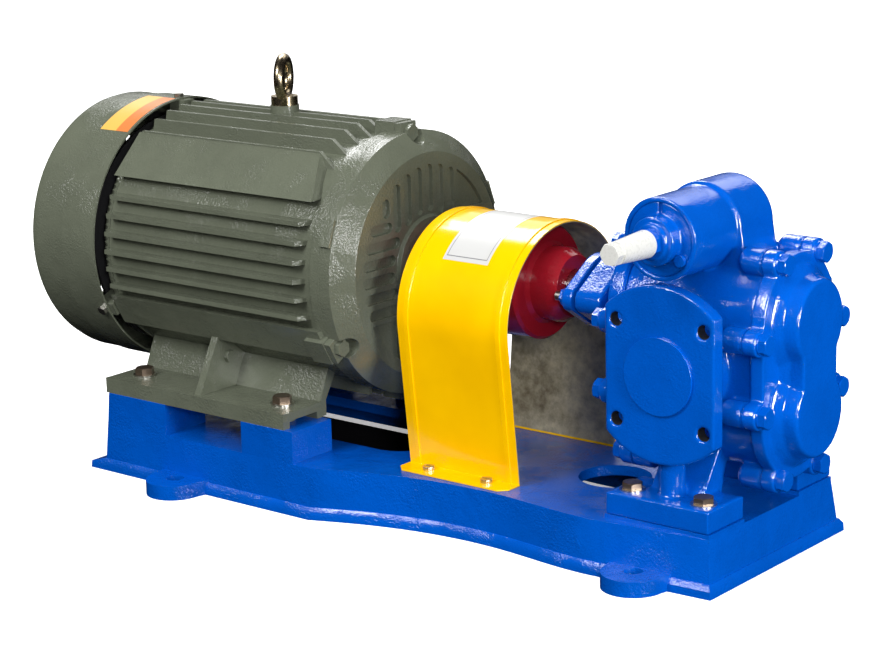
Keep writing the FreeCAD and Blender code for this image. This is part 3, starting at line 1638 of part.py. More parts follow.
def adjuster_cap():
    base = bonnet_end_y - lock_nut_height - 0.2
    tip = base - adjuster_cap_length
    t = adjuster_cap_wall
    r0 = adjuster_cap_base_radius
    r1 = adjuster_cap_tip_radius
    profile = [
        (base, r0 - t), (base, r0), (tip + adjuster_cap_hexagon, r1), (tip + 1, r1),
        (tip, r1 - 1), (tip, 0), (tip + t + 1, 0), (tip + t + 1, r1 - t - 2),
    ]
    cap = turned_y(profile)
    # The tip is a hexagon with corners to the left and right.
    points = [(port_x + r1 * math.cos(math.radians(60 * k)), tip - 1,
               valve_height + r1 * math.sin(math.radians(60 * k))) for k in range(6)]
    core = prism(points, V(0, adjuster_cap_hexagon, 0))
    ring = y_cylinder(r1 + 2, tip - 1, tip - 1 + adjuster_cap_hexagon, port_x, valve_height)
    return cap.cut(ring.cut(core))


def bonnet_screw_place():
    angle = math.radians(bonnet_screw_angle)
    return (port_x + bonnet_screw_radius * math.cos(angle),
            valve_height + bonnet_screw_radius * math.sin(angle))


def bonnet_screw():
    # A round screw that locks the bonnet in the barrel.
    x, z = bonnet_screw_place()
    head = y_cylinder(bonnet_screw_head_radius, bonnet_face_y - bonnet_screw_head, bonnet_face_y,
                      x, z)
    return head.fuse(y_cylinder(bonnet_screw_size / 2, bonnet_face_y - 1, bonnet_face_y + 8, x, z))


NODES = {
    "base_casting": base_casting,
    "pump_body": pump_body,
    "rear_cover": rear_cover,
    "front_cover": front_cover,
    "rear_gasket": lambda: gasket(port_x + half_body),
    "front_gasket": lambda: gasket(port_x - half_body - gasket_thickness),
    "rear_bushes": lambda: bushes(rear_cover_x),
    "front_bushes": lambda: bushes(front_cover_x - bush_length),
    "rear_wear_plate": lambda: wear_plate(port_x + half_body - wear_plate_thickness),
    "front_wear_plate": lambda: wear_plate(port_x - half_body),
    "drive_gear": drive_gear,
    "driven_gear": driven_gear,
    "drive_shaft": drive_shaft,
    "driven_shaft": driven_shaft,
    "pump_shaft_key": pump_key,
    "cover_bolts": cover_bolts,
    "pump_foot_bolts": pump_foot_bolts,
    "near_port_cap": port_cap,
    "far_port_cap": lambda: mirrored(port_cap()),
    "gland": gland,
    "gland_studs": gland_studs,
    "gland_nuts": gland_nuts,
    "packing_rings": packing,
    "valve_bonnet": valve_bonnet,
    "bonnet_screw": bonnet_screw,
    "valve_poppet": valve_poppet,
    "relief_spring": relief_spring,
    "spring_plate": spring_plate,
    "adjusting_screw": adjusting_screw,
    "lock_nut": lock_nut,
    "adjuster_cap": adjuster_cap,
    "pump_coupling_half": pump_coupling_half,
    "motor_coupling_half": motor_coupling_half,
    "coupling_pins": coupling_pins,
    "coupling_sleeves": coupling_sleeves,
    "coupling_guard": coupling_guard,
    "guard_screws": guard_screws,
    "motor_frame": motor_frame,
    "drive_end_shield": drive_end_shield,
    "rear_end_shield": rear_end_shield,
    "end_shield_bolts": end_shield_bolts,
    "drive_end_bearing": lambda: bearing(frame_end_x + shield_length - 6
                                         - motor_bearing_width),
    "rear_bearing": lambda: bearing(frame_start_x - 21),
    "stator": stator,
    "rotor_core": rotor_core,
    "motor_shaft": motor_shaft,
    "motor_shaft_key": motor_key,
    "cooling_fan": fan,
    "fan_cowl": fan_cowl,
    "cowl_screws": cowl_screws,
    "motor_foot_bolts": motor_foot_bolts,
    "motor_foot_washers": motor_foot_washers,
    "earthing_screw": earthing_screw,
    "terminal_box": terminal_box,
    "terminal_box_lid": terminal_box_lid,
    "cable_gland": cable_gland,
    "eyebolt": eyebolt,
}

os.makedirs("parts", exist_ok=True)
for name, make in NODES.items():
    shape = make()
    shape.exportStep("parts/" + name + ".step")
    print(name, shape.ShapeType, len(shape.Solids), shape.isValid(), round(shape.Volume / 1000))
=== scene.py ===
"""Looks for the gear pump set: castings, paint, bolt heads, blank labels and a small studio.

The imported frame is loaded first. Each operator then dresses one group of its pieces.
"""

import json
import math

import bmesh
import bpy
from mathutils import Matrix, Vector

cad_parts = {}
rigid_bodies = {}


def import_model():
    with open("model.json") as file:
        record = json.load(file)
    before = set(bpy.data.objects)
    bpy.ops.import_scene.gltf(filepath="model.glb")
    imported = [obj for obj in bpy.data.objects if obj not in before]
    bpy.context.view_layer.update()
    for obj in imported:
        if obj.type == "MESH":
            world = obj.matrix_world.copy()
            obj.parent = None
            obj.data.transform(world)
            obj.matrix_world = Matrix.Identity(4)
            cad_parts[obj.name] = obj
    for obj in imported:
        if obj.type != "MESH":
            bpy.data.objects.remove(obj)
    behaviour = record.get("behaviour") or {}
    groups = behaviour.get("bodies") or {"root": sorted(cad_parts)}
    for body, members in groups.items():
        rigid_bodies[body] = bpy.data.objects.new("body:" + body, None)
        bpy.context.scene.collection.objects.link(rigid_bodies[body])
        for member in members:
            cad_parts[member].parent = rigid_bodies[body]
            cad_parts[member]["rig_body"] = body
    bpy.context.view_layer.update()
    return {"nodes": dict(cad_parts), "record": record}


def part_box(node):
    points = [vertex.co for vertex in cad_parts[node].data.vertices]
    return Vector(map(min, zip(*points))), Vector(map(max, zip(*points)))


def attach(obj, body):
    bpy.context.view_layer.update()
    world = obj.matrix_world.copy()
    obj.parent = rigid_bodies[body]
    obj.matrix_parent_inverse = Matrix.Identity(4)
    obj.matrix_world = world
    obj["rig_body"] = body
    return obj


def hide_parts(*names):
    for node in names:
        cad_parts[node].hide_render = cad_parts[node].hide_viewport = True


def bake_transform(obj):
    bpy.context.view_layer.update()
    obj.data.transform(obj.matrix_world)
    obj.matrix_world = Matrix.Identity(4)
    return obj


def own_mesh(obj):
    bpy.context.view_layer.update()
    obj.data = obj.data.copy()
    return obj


bl_info = {
    "name": "Gear pump set",
    "version": (1, 0, 0),
    "blender": (4, 5, 0),
    "location": "3D View > Sidebar > Pump set",
    "description": "Dresses a motor driven gear pump set on its cast base",
    "category": "Object",
}

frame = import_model()

MM = 0.001
NODES = frame["nodes"]
MATERIALS = {}


def corners(node):
    """Lowest and highest corner of a CAD node."""
    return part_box(node)


# Sizes of the CAD pieces that the looks follow

SHAFT_Z = sum(corner.z for corner in corners("motor_shaft")) / 2
GUARD_RADIUS = 101 * MM
GUARD_FOOT_HALF_WIDTH = 85 * MM
GUARD_SHEET = 2.0 * MM
GUARD_BEAD = 1.2 * MM
COWL_RADIUS = 153 * MM
HEAD_HEIGHT = 8.0 * MM

# Blank labels: their reach along X from one end of the piece, and in degrees from its top

LABEL_REACH = (44 * MM, 102 * MM)
LABEL_ANGLES = (-50, 16)
LABEL_LINE = (3 * MM, 3.8 * MM)
STICKER_REACH = (-47 * MM, -3 * MM)
STICKER_ANGLES = (-35.4, -4)
STICKER_BAND = 22 * MM

# Limits for the meshes: the CAD pieces, and those that are made here

WELD_DISTANCE = 1e-5
FLAT_ANGLE = math.radians(0.6)
BEVEL_ANGLE = math.radians(32)
CAD_SHARP_ANGLE = math.radians(34)
OWN_SHARP_ANGLE = math.radians(30)


# Sizes and colours that a user would change


class CastingSizes(bpy.types.PropertyGroup):
    pump_grain: bpy.props.FloatProperty(
        name="Pump grain", description="Cell size of the rounded pump castings",
        default=1.5 * MM, unit="LENGTH")
    rounds: bpy.props.IntProperty(
        name="Rounds", description="Passes that soften the edges of a casting", default=5)
    edge_radius: bpy.props.FloatProperty(
        name="Edge radius", description="Broken edge of a machined piece",
        default=0.8 * MM, unit="LENGTH")


class BoltSizes(bpy.types.PropertyGroup):
    cover_flats: bpy.props.FloatProperty(
        name="Cover bolt flats", description="Width across flats of the cover bolts",
        default=18.8 * MM, unit="LENGTH")
    washer: bpy.props.FloatProperty(
        name="Washer", description="Thickness of the washers", default=1.6 * MM, unit="LENGTH")
    chamfer_angle: bpy.props.FloatProperty(
        name="Head chamfer", description="Slope of the round chamfer on a bolt head",
        default=math.radians(30), subtype="ANGLE")


class PaintColours(bpy.types.PropertyGroup):
    blue: bpy.props.FloatVectorProperty(
        name="Pump blue", description="Enamel of the pump and its base", subtype="COLOR",
        default=(0.0, 0.078, 0.45))
    grey_green: bpy.props.FloatVectorProperty(
        name="Motor grey-green", description="Enamel of the motor", subtype="COLOR",
        default=(0.112, 0.124, 0.09))
    yellow: bpy.props.FloatVectorProperty(
        name="Guard yellow", description="Enamel of the coupling guard", subtype="COLOR",
        default=(1.0, 0.54, 0.0))
    red: bpy.props.FloatVectorProperty(
        name="Coupling red", description="Enamel of the coupling", subtype="COLOR",
        default=(0.36, 0.01, 0.02))


class StudioSizes(bpy.types.PropertyGroup):
    camera_place: bpy.props.FloatVectorProperty(
        name="Camera place", description="Where the camera stands", subtype="XYZ",
        default=(1.246, -1.9445, 0.808))
    camera_turn: bpy.props.FloatProperty(
        name="Camera turn", description="Compass angle of the view", subtype="ANGLE",
        default=math.radians(39.46))
    camera_tilt: bpy.props.FloatProperty(
        name="Camera tilt", description="How far the camera looks down", subtype="ANGLE",
        default=math.radians(12.83))
    camera_roll: bpy.props.FloatProperty(
        name="Camera roll", description="Turn of the picture about the view", subtype="ANGLE",
        default=math.radians(-1.45))
    lens: bpy.props.FloatProperty(
        name="Lens", description="Focal length on a 36 mm sensor in millimetres",
        default=97.26)
    lens_shift: bpy.props.FloatVectorProperty(
        name="Lens shift", description="Sideways and upward shift of the picture", size=2,
        default=(0.0163, -0.0596))


# Shader maths as Python expressions


class Value:
    """A shader socket that adds Math nodes when it is used in an expression."""

    def __init__(self, tree, socket):
        self.tree = tree
        self.socket = socket

    def math(self, operation, *others):
        node = self.tree.nodes.new("ShaderNodeMath")
        node.operation = operation
        for place, item in enumerate((self,) + others):
            feed(self.tree, node.inputs[place], item)
        return Value(self.tree, node.outputs[0])

    def __add__(self, other):
        return self.math("ADD", other)

    def __radd__(self, other):
        return self.math("ADD", other)

    def __mul__(self, other):
        return self.math("MULTIPLY", other)

    def __rmul__(self, other):
        return self.math("MULTIPLY", other)

    def __sub__(self, other):
        return self.math("SUBTRACT", other)

    def __rsub__(self, other):
        return (self * -1).math("ADD", other)

    def __truediv__(self, other):
        return self.math("DIVIDE", other)

    def __gt__(self, other):
        return self.math("GREATER_THAN", other)

    def __lt__(self, other):
        return self.math("LESS_THAN", other)

    def clamp(self):
        node = self.tree.nodes.new("ShaderNodeClamp")
        feed(self.tree, node.inputs[0], self)
        return Value(self.tree, node.outputs[0])


def feed(tree, socket, item):
    """Links or sets one socket."""
    if isinstance(item, Value):
        tree.links.new(item.socket, socket)
    elif isinstance(item, bpy.types.NodeSocket):
        tree.links.new(item, socket)
    elif hasattr(socket, "default_value"):
        if socket.type == "RGBA" and len(item) == 3:
            item = tuple(item) + (1.0,)
        socket.default_value = item


class Finish:
    """One material and the nodes that it is made of."""

    def __init__(self, name):
        self.material = bpy.data.materials.new(name)
        self.material.use_nodes = True
        self.tree = self.material.node_tree
        self.tree.nodes.clear()
        output = self.tree.nodes.new("ShaderNodeOutputMaterial")
        self.shader = self.tree.nodes.new("ShaderNodeBsdfPrincipled")
        self.tree.links.new(self.shader.outputs[0], output.inputs[0])
        self.place = self.node("ShaderNodeTexCoord").outputs["Object"]

    def node(self, kind, settings=None, **inputs):
        """Any node: its settings first, then the values or links of its sockets."""
        made = self.tree.nodes.new(kind)
        for key, value in (settings or {}).items():
            setattr(made, key, value)
        for key, value in inputs.items():
            feed(self.tree, made.inputs[key.replace("_", " ")], value)
        return made

    def noise(self, size, detail=2.0, roughness=0.5, distortion=0.0):
        """Noise whose features are about size metres across."""
        made = self.node("ShaderNodeTexNoise", Vector=self.place, Scale=1.0 / size,
                         Detail=detail, Roughness=roughness, Distortion=distortion)
        return Value(self.tree, made.outputs["Fac"])

    def axis(self, letter):
        """One coordinate of the place on the piece."""
        made = self.node("ShaderNodeSeparateXYZ", Vector=self.place)
        return Value(self.tree, made.outputs[letter])

    def blend(self, mask, first, second):
        """Colour first where the mask is 0 and second where it is 1."""
        made = self.node("ShaderNodeMix", {"data_type": "RGBA"})
        feed(self.tree, made.inputs[0], mask)
        feed(self.tree, made.inputs[6], first)
        feed(self.tree, made.inputs[7], second)
        return made.outputs[2]

    def ramp(self, value, low, high):
        """0 below low, 1 above high."""
        made = self.node("ShaderNodeMapRange", {"clamp": True})
        feed(self.tree, made.inputs[0], value)
        feed(self.tree, made.inputs[1], low)
        feed(self.tree, made.inputs[2], high)
        return Value(self.tree, made.outputs[0])

    def bump(self, height, strength, distance, normal=None):
        """A bump on the surface, or on another bump's normal."""
        made = self.node("ShaderNodeBump", Height=height, Strength=strength, Distance=distance)
        if normal is not None:
            feed(self.tree, made.inputs["Normal"], normal)
        return made.outputs[0]

    def set(self, **inputs):
        """Sets or links sockets of the surface shader."""
        for key, value in inputs.items():
            feed(self.tree, self.shader.inputs[key.replace("_", " ")], value)
        return self


def tint(colour, share):
    """The colour, darker or lighter by a share."""
    return tuple(min(1.0, part * share) for part in colour[:3])


def cast_enamel(name, colour, gloss, roughness, grain, peel):
    """Thick enamel over a sand casting: soft waves, orange peel and rough patches."""
    finish = Finish(name)
    waves = finish.noise(28 * MM, 3.0, 0.5, 0.4)
    skin = finish.noise(7 * MM, 2.0, 0.5)
    sand = finish.noise(2.4 * MM, 2.0, 0.6)
    dust = finish.ramp(finish.noise(1.7 * MM, 2.0, 0.6), 0.35, 0.7)
    rough_patch = finish.ramp(finish.noise(38 * MM, 2.0), 0.4, 0.6)
    worn = finish.ramp(finish.noise(60 * MM, 4.0, 0.6), 0.4, 0.75)
    finish.set(
        Base_Color=finish.blend(worn * 0.4 + dust * 0.3, tint(colour, 1.1), tint(colour, 0.72)),
        Roughness=roughness + (waves - 0.5) * 0.08,
        Specular_IOR_Level=gloss,
    )
    rough = finish.bump(sand * (rough_patch * 0.75 + 0.25), 1.0, grain)
    soft = finish.bump(skin, peel, 0.9 * MM, rough)
    finish.set(Normal=finish.bump(waves, peel, 3 * MM, soft))
    return finish.material


def bare_metal(name, colour, roughness, metallic=1.0, scratch=0.15):
    """Unpainted metal with fine scratches and broad patches."""
    finish = Finish(name)
    fine = finish.noise(1.4 * MM, 2.0)
    broad = finish.noise(24 * MM, 3.0)
    finish.set(
        Base_Color=finish.blend(broad, tint(colour, 0.85), tint(colour, 1.1)),
        Metallic=metallic,
        Roughness=roughness + (fine - 0.5) * 0.2,
        Normal=finish.bump(fine, scratch, 0.15 * MM),
    )
    return finish.material


def guard_enamel(name, colour):
    """Yellow outside, bare spangled zinc inside, split at the middle of the sheet."""
    finish = Finish(name)
    low, high = corners("coupling_guard")
    arch_z = high.z - GUARD_RADIUS - GUARD_BEAD
    y = finish.axis("Y")
    z = finish.axis("Z")
    over = (z - arch_z).math("MAXIMUM", 0.0)
    distance = (y * y + over * over).math("SQRT")
    leg = ((z - low.z) / (arch_z - low.z)).clamp()
    half_width = leg * (GUARD_RADIUS - GUARD_FOOT_HALF_WIDTH) + GUARD_FOOT_HALF_WIDTH
    inside = distance < half_width - GUARD_SHEET * 0.5
    flange = z < low.z + GUARD_SHEET + 0.5 * MM
    zinc = inside * (1 - flange)
    spangle = finish.ramp(finish.noise(11 * MM, 4.0, 0.7), 0.35, 0.65)
    cloud = finish.ramp(finish.noise(90 * MM, 3.0), 0.35, 0.7)
    worn = finish.blend(cloud, tint(colour, 0.88), tint(colour, 1.04))
    peel = finish.noise(7 * MM, 2.0)
    stain = finish.ramp(finish.noise(70 * MM, 2.0), 0.35, 0.6)
    grey = finish.blend(stain * 0.4 + spangle * 0.4, (0.24, 0.19, 0.1), (0.9, 0.8, 0.52))
    finish.set(
        Base_Color=finish.blend(zinc, worn, grey),
        Metallic=zinc * 0.5,
        Roughness=zinc * (spangle * 0.15 + 0.2) + 0.14 + (peel - 0.5) * 0.08,
        Specular_IOR_Level=0.6,
        Normal=finish.bump(peel, 0.1, 0.5 * MM),
    )
    return finish.material


def moulded(name, colour, roughness, scatter=0.0):
    """Plastic, rubber or fibre; scatter lets some light into it."""
    finish = Finish(name)
    skin = finish.noise(3 * MM, 2.0)
    finish.set(Base_Color=colour, Roughness=roughness + (skin - 0.5) * 0.1,
               Normal=finish.bump(skin, 0.08, 0.2 * MM))
    if scatter:
        finish.set(Subsurface_Weight=scatter, Subsurface_Radius=(0.01, 0.01, 0.01),
                   Subsurface_Scale=0.3)
    return finish.material


def winding(name):
    """Laminated core in the middle and varnished copper heads at both ends."""
    finish = Finish(name)
    low, high = corners("stator")
    x = finish.axis("X")
    head = 36 * MM
    outer = (x < low.x + head) + (x > high.x - head)
    strand = finish.noise(2.5 * MM, 2.0)
    iron = finish.blend(strand, (0.12, 0.12, 0.125), (0.2, 0.2, 0.21))
    copper = finish.blend(strand, (0.2, 0.06, 0.02), (0.5, 0.18, 0.06))
    finish.set(Base_Color=finish.blend(outer.clamp(), iron, copper), Metallic=0.7,
               Roughness=0.4 + strand * 0.2, Normal=finish.bump(strand, 0.5, 1 * MM))
    return finish.material


def blank_label(name, colour, second, mask):
    """A blank label, with a plain second colour where the mask says so."""
    finish = Finish(name)
    fibre = finish.noise(1.2 * MM, 3.0)
    finish.set(Base_Color=finish.blend(mask(finish), colour, second),
               Roughness=0.3 + fibre * 0.05, Normal=finish.bump(fibre, 0.03, 0.1 * MM))
    return finish.material


def frame_line(low, high):
    """The mask of a thin line along the edges of a label, seen from above."""
    outer_edge, inner_edge = LABEL_LINE

    def mask(finish):
        x, y = finish.axis("X"), finish.axis("Y")

        def inner(margin):
            return ((x > low[0] + margin) * (x < high[0] - margin)
                    * (y > low[1] + margin) * (y < high[1] - margin))
        return inner(outer_edge) - inner(inner_edge)
    return mask


# Mesh helpers


def add_object(name, data):
    """A new object in the scene."""
    made = bpy.data.objects.new(name, data)
    bpy.context.scene.collection.objects.link(made)
    return made


def only_material(mesh, material):
    """Gives the mesh this material and no other."""
    mesh.materials.clear()
    mesh.materials.append(material)


def merged_copy(node):
    """A welded copy of a CAD node, without a material."""
    mesh = NODES[node].data.copy()
    mesh.name = node + "_dressed"
    work = bmesh.new()
    work.from_mesh(mesh)
    bmesh.ops.remove_doubles(work, verts=work.verts, dist=WELD_DISTANCE)
    work.to_mesh(mesh)
    work.free()
    mesh.materials.clear()
    return add_object(node + "_dressed", mesh)


def bake_modifiers(piece):
    """Turns the evaluated piece into a plain mesh and drops its modifiers."""
    graph = bpy.context.evaluated_depsgraph_get()
    mesh = bpy.data.meshes.new_from_object(piece.evaluated_get(graph))
    piece.modifiers.clear()
    old = piece.data
    piece.data = mesh
    bpy.data.meshes.remove(old)
    return piece


def smooth_faces(mesh, angle):
    """Smooth shading with sharp edges where faces meet at more than the angle."""
    mesh.polygons.foreach_set("use_smooth", [True] * len(mesh.polygons))
    mesh.set_sharp_from_angle(angle=angle)
    mesh.update()


def body_of_node(node):
    """The moving body, or the fixed set, that a CAD node belongs to."""
    return NODES[node]["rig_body"]


def hand_over(piece, node, material):
    """Puts the finished piece in place of its CAD node."""
    only_material(piece.data, MATERIALS[material])
    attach(piece, body_of_node(node))
    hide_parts(node)
    return piece


def slot_of(node):
    """The name of a CAD node's material."""
    for entry in frame["record"]["subparts"]:
        if entry["node"] == node:
            return entry["material_slot"]
    raise ValueError("no slot for " + node)


def painted_edge(node, paint, width):
    """A gasket whose rim has taken the castings' paint."""
    piece = merged_copy(node)
    work = bmesh.new()
    work.from_mesh(piece.data)
    flat = [face for face in work.faces if abs(face.normal.x) > 0.5]
    rim = bmesh.ops.inset_region(work, faces=flat, thickness=width, use_boundary=True)["faces"]
    work.faces.index_update()
    edge = {face.index for face in rim}
    edge.update(face.index for face in work.faces if abs(face.normal.x) < 0.5)
    work.to_mesh(piece.data)
    work.free()
    smooth_faces(piece.data, CAD_SHARP_ANGLE)
    hand_over(piece, node, slot_of(node))
    second_finish(piece, paint, lambda face: face.index in edge)
    return piece


def second_finish(piece, material, chosen):
    """Gives another material to the faces that the test picks."""
    piece.data.materials.append(MATERIALS[material])
    for face in piece.data.polygons:
        face.material_index = 1 if chosen(face) else 0


def hollow_boxes():
    """Lowest and highest corners of the open undersides of the base."""
    return [opening["box_m"] for opening in frame["record"]["physics"]["openings"]
            if opening["name"].startswith("base_underside")]


def hollow_faces():
    """A test for the faces inside the hollow base: unpainted iron there, near black as painted
    shade.
    """
    margin = 3 * MM
    deck = corners("base_casting")[1].z - 1 * MM
    boxes = hollow_boxes()

    def inside(face):
        x, y, z = face.center
        return z < deck and face.normal.z < 0.5 and any(
            low[0] - margin < x < high[0] + margin and low[1] - margin < y < high[1] + margin
            and z < high[2] + margin for low, high in boxes)
    return inside


def port_threads():
    """A test for the faces inside the tapped holes of the port flanges."""
    wall_margin = 0.8 * MM
    painted_depth = 1.6 * MM
    hole_depth = 26 * MM
    holes = []
    for mount in frame["record"]["mounts"]:
        if mount["name"].endswith("_port_flange"):
            x, y, z = mount["pos_m"]
            pitch = mount["dims"]["pcd_mm"] * MM / 2 / math.sqrt(2)
            radius = mount["dims"]["hole_r_mm"] * MM + wall_margin
            holes += [(x + i * pitch, abs(y), z + k * pitch, radius)
                      for i in (-1, 1) for k in (-1, 1)]

    def inside(face):
        return any(math.hypot(face.center.x - x, face.center.z - z) < radius
                   and painted_depth < y - abs(face.center.y) < hole_depth
                   for x, y, z, radius in holes)
    return inside


def rounded_casting(node, grain, rounds, share=0.5):
    """A casting with soft edges, from cells of the given size and a share of their faces."""
    piece = merged_copy(node)
    remesh = piece.modifiers.new("Cells", "REMESH")
    remesh.mode = "VOXEL"
    remesh.voxel_size = grain
    soft = piece.modifiers.new("Soften", "SMOOTH")
    soft.factor = 0.5
    soft.iterations = rounds
    fewer = piece.modifiers.new("Fewer", "DECIMATE")
    fewer.ratio = share
    bake_modifiers(piece)
    smooth_faces(piece.data, math.radians(70))
    return hand_over(piece, node, slot_of(node))


def machined_piece(node, radius, segments=2, sharp=CAD_SHARP_ANGLE):
    """A welded copy with its flat faces joined and small broken edges."""
    piece = merged_copy(node)
    work = bmesh.new()
    work.from_mesh(piece.data)
    bmesh.ops.dissolve_limit(work, angle_limit=FLAT_ANGLE, verts=work.verts, edges=work.edges)
    work.to_mesh(piece.data)
    work.free()
    if radius > 0:
        bevel = piece.modifiers.new("Edges", "BEVEL")
        bevel.width = radius
        bevel.segments = segments
        bevel.limit_method = "ANGLE"
        bevel.angle_limit = BEVEL_ANGLE
        bevel.use_clamp_overlap = True
        bevel.miter_outer = "MITER_ARC"
        bake_modifiers(piece)
    smooth_faces(piece.data, sharp)
    level = piece.modifiers.new("Level", "WEIGHTED_NORMAL")
    level.keep_sharp = True
    level.weight = 80
    bake_modifiers(piece)
    return hand_over(piece, node, slot_of(node))


# Finishes and pieces


class PUMPSET_OT_materials(bpy.types.Operator):
    """Make every finish and give it to the CAD nodes."""

    bl_idname = "pumpset.materials"
    bl_label = "Materials"

    def execute(self, context):
        paint = context.scene.pumpset_paint
        enamels = {
            "blue_paint": (tuple(paint.blue), 1.0, 0.08, 0.5 * MM, 0.1),
            "base_paint": (tuple(paint.blue), 0.65, 0.13, 1.1 * MM, 0.12),
            "grey_green_paint": (tuple(paint.grey_green), 0.7, 0.19, 1.0 * MM, 0.12),
            "red_paint": (tuple(paint.red), 0.6, 0.16, 0.2 * MM, 0.08),
        }
        metals = {
            "bronzed_steel": ((0.2, 0.15, 0.11), 0.32, 0.85),
            "plated_steel": ((0.62, 0.6, 0.55), 0.3),
            "yellow_zinc": ((0.5, 0.41, 0.27), 0.26),
            "ground_steel": ((0.55, 0.55, 0.56), 0.25),
            # Bare cast iron made near black: bare metal, and also painted shade for the tapped
            # holes and the hollow base that get it.
            "cast_iron_bare": ((0.015, 0.015, 0.017), 0.75, 0.2, 0.5),
            "bronze": ((0.5, 0.3, 0.12), 0.3),
            "aluminium_rotor": ((0.5, 0.5, 0.5), 0.45),
        }
        mouldings = {
            "fibre": ((0.16, 0.13, 0.09), 0.8),
            "rubber": ((0.02, 0.02, 0.02), 0.7),
            "white_plastic": ((0.6, 0.6, 0.57), 0.28, 0.25),
            "black_plastic": ((0.025, 0.025, 0.027), 0.45),
        }
        for make, looks in ((cast_enamel, enamels), (bare_metal, metals), (moulded, mouldings)):
            for name, look in looks.items():
                MATERIALS[name] = make(name, *look)
        MATERIALS["yellow_paint"] = guard_enamel("yellow_paint", tuple(paint.yellow))
        MATERIALS["copper_windings"] = winding("copper_windings")
        for node, piece in NODES.items():
            only_material(piece.data, MATERIALS[slot_of(node)])
        return {"FINISHED"}


class PUMPSET_OT_castings(bpy.types.Operator):
    """Round the edges of the blue castings."""

    bl_idname = "pumpset.castings"
    bl_label = "Castings"

    def execute(self, context):
        sizes = context.scene.pumpset_castings
        base = machined_piece("base_casting", 3.6 * MM, segments=4, sharp=math.radians(24))
        base.data.materials[0] = MATERIALS["base_paint"]
        # Inside the hollow base: unpainted iron, in a near black that also paints the shade
        # there.
        second_finish(base, "cast_iron_bare", hollow_faces())
        for node in ("pump_body", "rear_cover", "front_cover"):
            piece = rounded_casting(node, sizes.pump_grain, sizes.rounds, share=0.4)
            if node == "pump_body":
                # Tapped holes of the port flanges: bare thread, in a near black that also
                # paints the shade inside the holes.
                second_finish(piece, "cast_iron_bare", port_threads())
        for node in ("gland", "valve_bonnet"):
            rounded_casting(node, sizes.pump_grain * 0.7, rounds=3)
        for node in ("rear_gasket", "front_gasket"):
            painted_edge(node, "blue_paint", 3 * MM)
        return {"FINISHED"}


class PUMPSET_OT_motor(bpy.types.Operator):
    """Break the edges of the motor's castings, its cowl and its box."""

    bl_idname = "pumpset.motor"
    bl_label = "Motor"

    def execute(self, context):
        radius = context.scene.pumpset_castings.edge_radius
        for node in ("motor_frame", "drive_end_shield", "terminal_box", "terminal_box_lid"):
            machined_piece(node, radius, sharp=math.radians(22))
        machined_piece("fan_cowl", 0.5 * MM, sharp=math.radians(16))
        for node in ("rear_end_shield", "eyebolt", "cable_gland", "motor_shaft",
                     "cooling_fan"):
            machined_piece(node, 0)
        return {"FINISHED"}


class PUMPSET_OT_coupling(bpy.types.Operator):
    """Break the edges of the coupling, its guard and the small pieces in view."""

    bl_idname = "pumpset.coupling"
    bl_label = "Coupling and guard"

    def execute(self, context):
        radius = context.scene.pumpset_castings.edge_radius
        fine_radius = 0.4 * MM
        for node in ("pump_coupling_half", "motor_coupling_half"):
            machined_piece(node, radius)
        for node in ("coupling_guard", "drive_shaft", "adjuster_cap", "near_port_cap",
                     "far_port_cap", "lock_nut", "guard_screws", "bonnet_screw"):
            machined_piece(node, fine_radius)
        return {"FINISHED"}


class PUMPSET_OT_soft_pieces(bpy.types.Operator):
    """Split the relief spring into two closed halves at its middle, and break the packing's
    edges.
    """

    bl_idname = "pumpset.soft_pieces"
    bl_label = "Spring and packing"

    def execute(self, context):
        low, high = corners("relief_spring")
        centre = (low + high) / 2
        plate_end = Vector((centre.x, low.y, centre.z))
        poppet_end = Vector((centre.x, high.y, centre.z))
        self.spring_half("relief_spring_plate_end", centre, -1,
                         ("spring_plate", "fixed_set", plate_end, centre))
        self.spring_half("relief_spring_poppet_end", centre, 1,
                         ("fixed_set", "poppet", centre, poppet_end))
        low, high = corners("packing_rings")
        length = high.x - low.x
        packing = machined_piece("packing_rings", 0.6 * MM)
        take_up = next(joint for joint in frame["record"]["behaviour"]["joints"]
                       if joint["name"] == "gland_take_up")
        (length - take_up["range_m"][1]) / length
        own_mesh(packing)
        return {"FINISHED"}

    def spring_half(self, name, centre, side, ends):
        """One half of the spring, cut at its middle and closed there."""
        piece = merged_copy("relief_spring")
        piece.name = name
        work = bmesh.new()
        work.from_mesh(piece.data)
        cut = bmesh.ops.bisect_plane(
            work, geom=work.verts[:] + work.edges[:] + work.faces[:], dist=1e-6,
            plane_co=centre, plane_no=(0, 1, 0), clear_inner=side > 0, clear_outer=side < 0)
        rim = [item for item in cut["geom_cut"] if isinstance(item, bmesh.types.BMEdge)]
        bmesh.ops.holes_fill(work, edges=rim, sides=0)
        work.to_mesh(piece.data)
        work.free()
        smooth_faces(piece.data, CAD_SHARP_ANGLE)
        slot = slot_of("relief_spring")
        piece.data.materials.append(MATERIALS[slot])
        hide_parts("relief_spring")
        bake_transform(piece)


# Bolt heads


def new_tree(name, inputs):
    """A Geometry Nodes tree with named inputs."""
    tree = bpy.data.node_groups.new(name, "GeometryNodeTree")
    tree.interface.new_socket("Geometry", in_out="INPUT", socket_type="NodeSocketGeometry")
    tree.interface.new_socket("Geometry", in_out="OUTPUT", socket_type="NodeSocketGeometry")
    for label, kind, value in inputs:
        socket = tree.interface.new_socket(label, in_out="INPUT",
                                           socket_type="NodeSocket" + kind)
        if value is not None:
            socket.default_value = value
    return tree


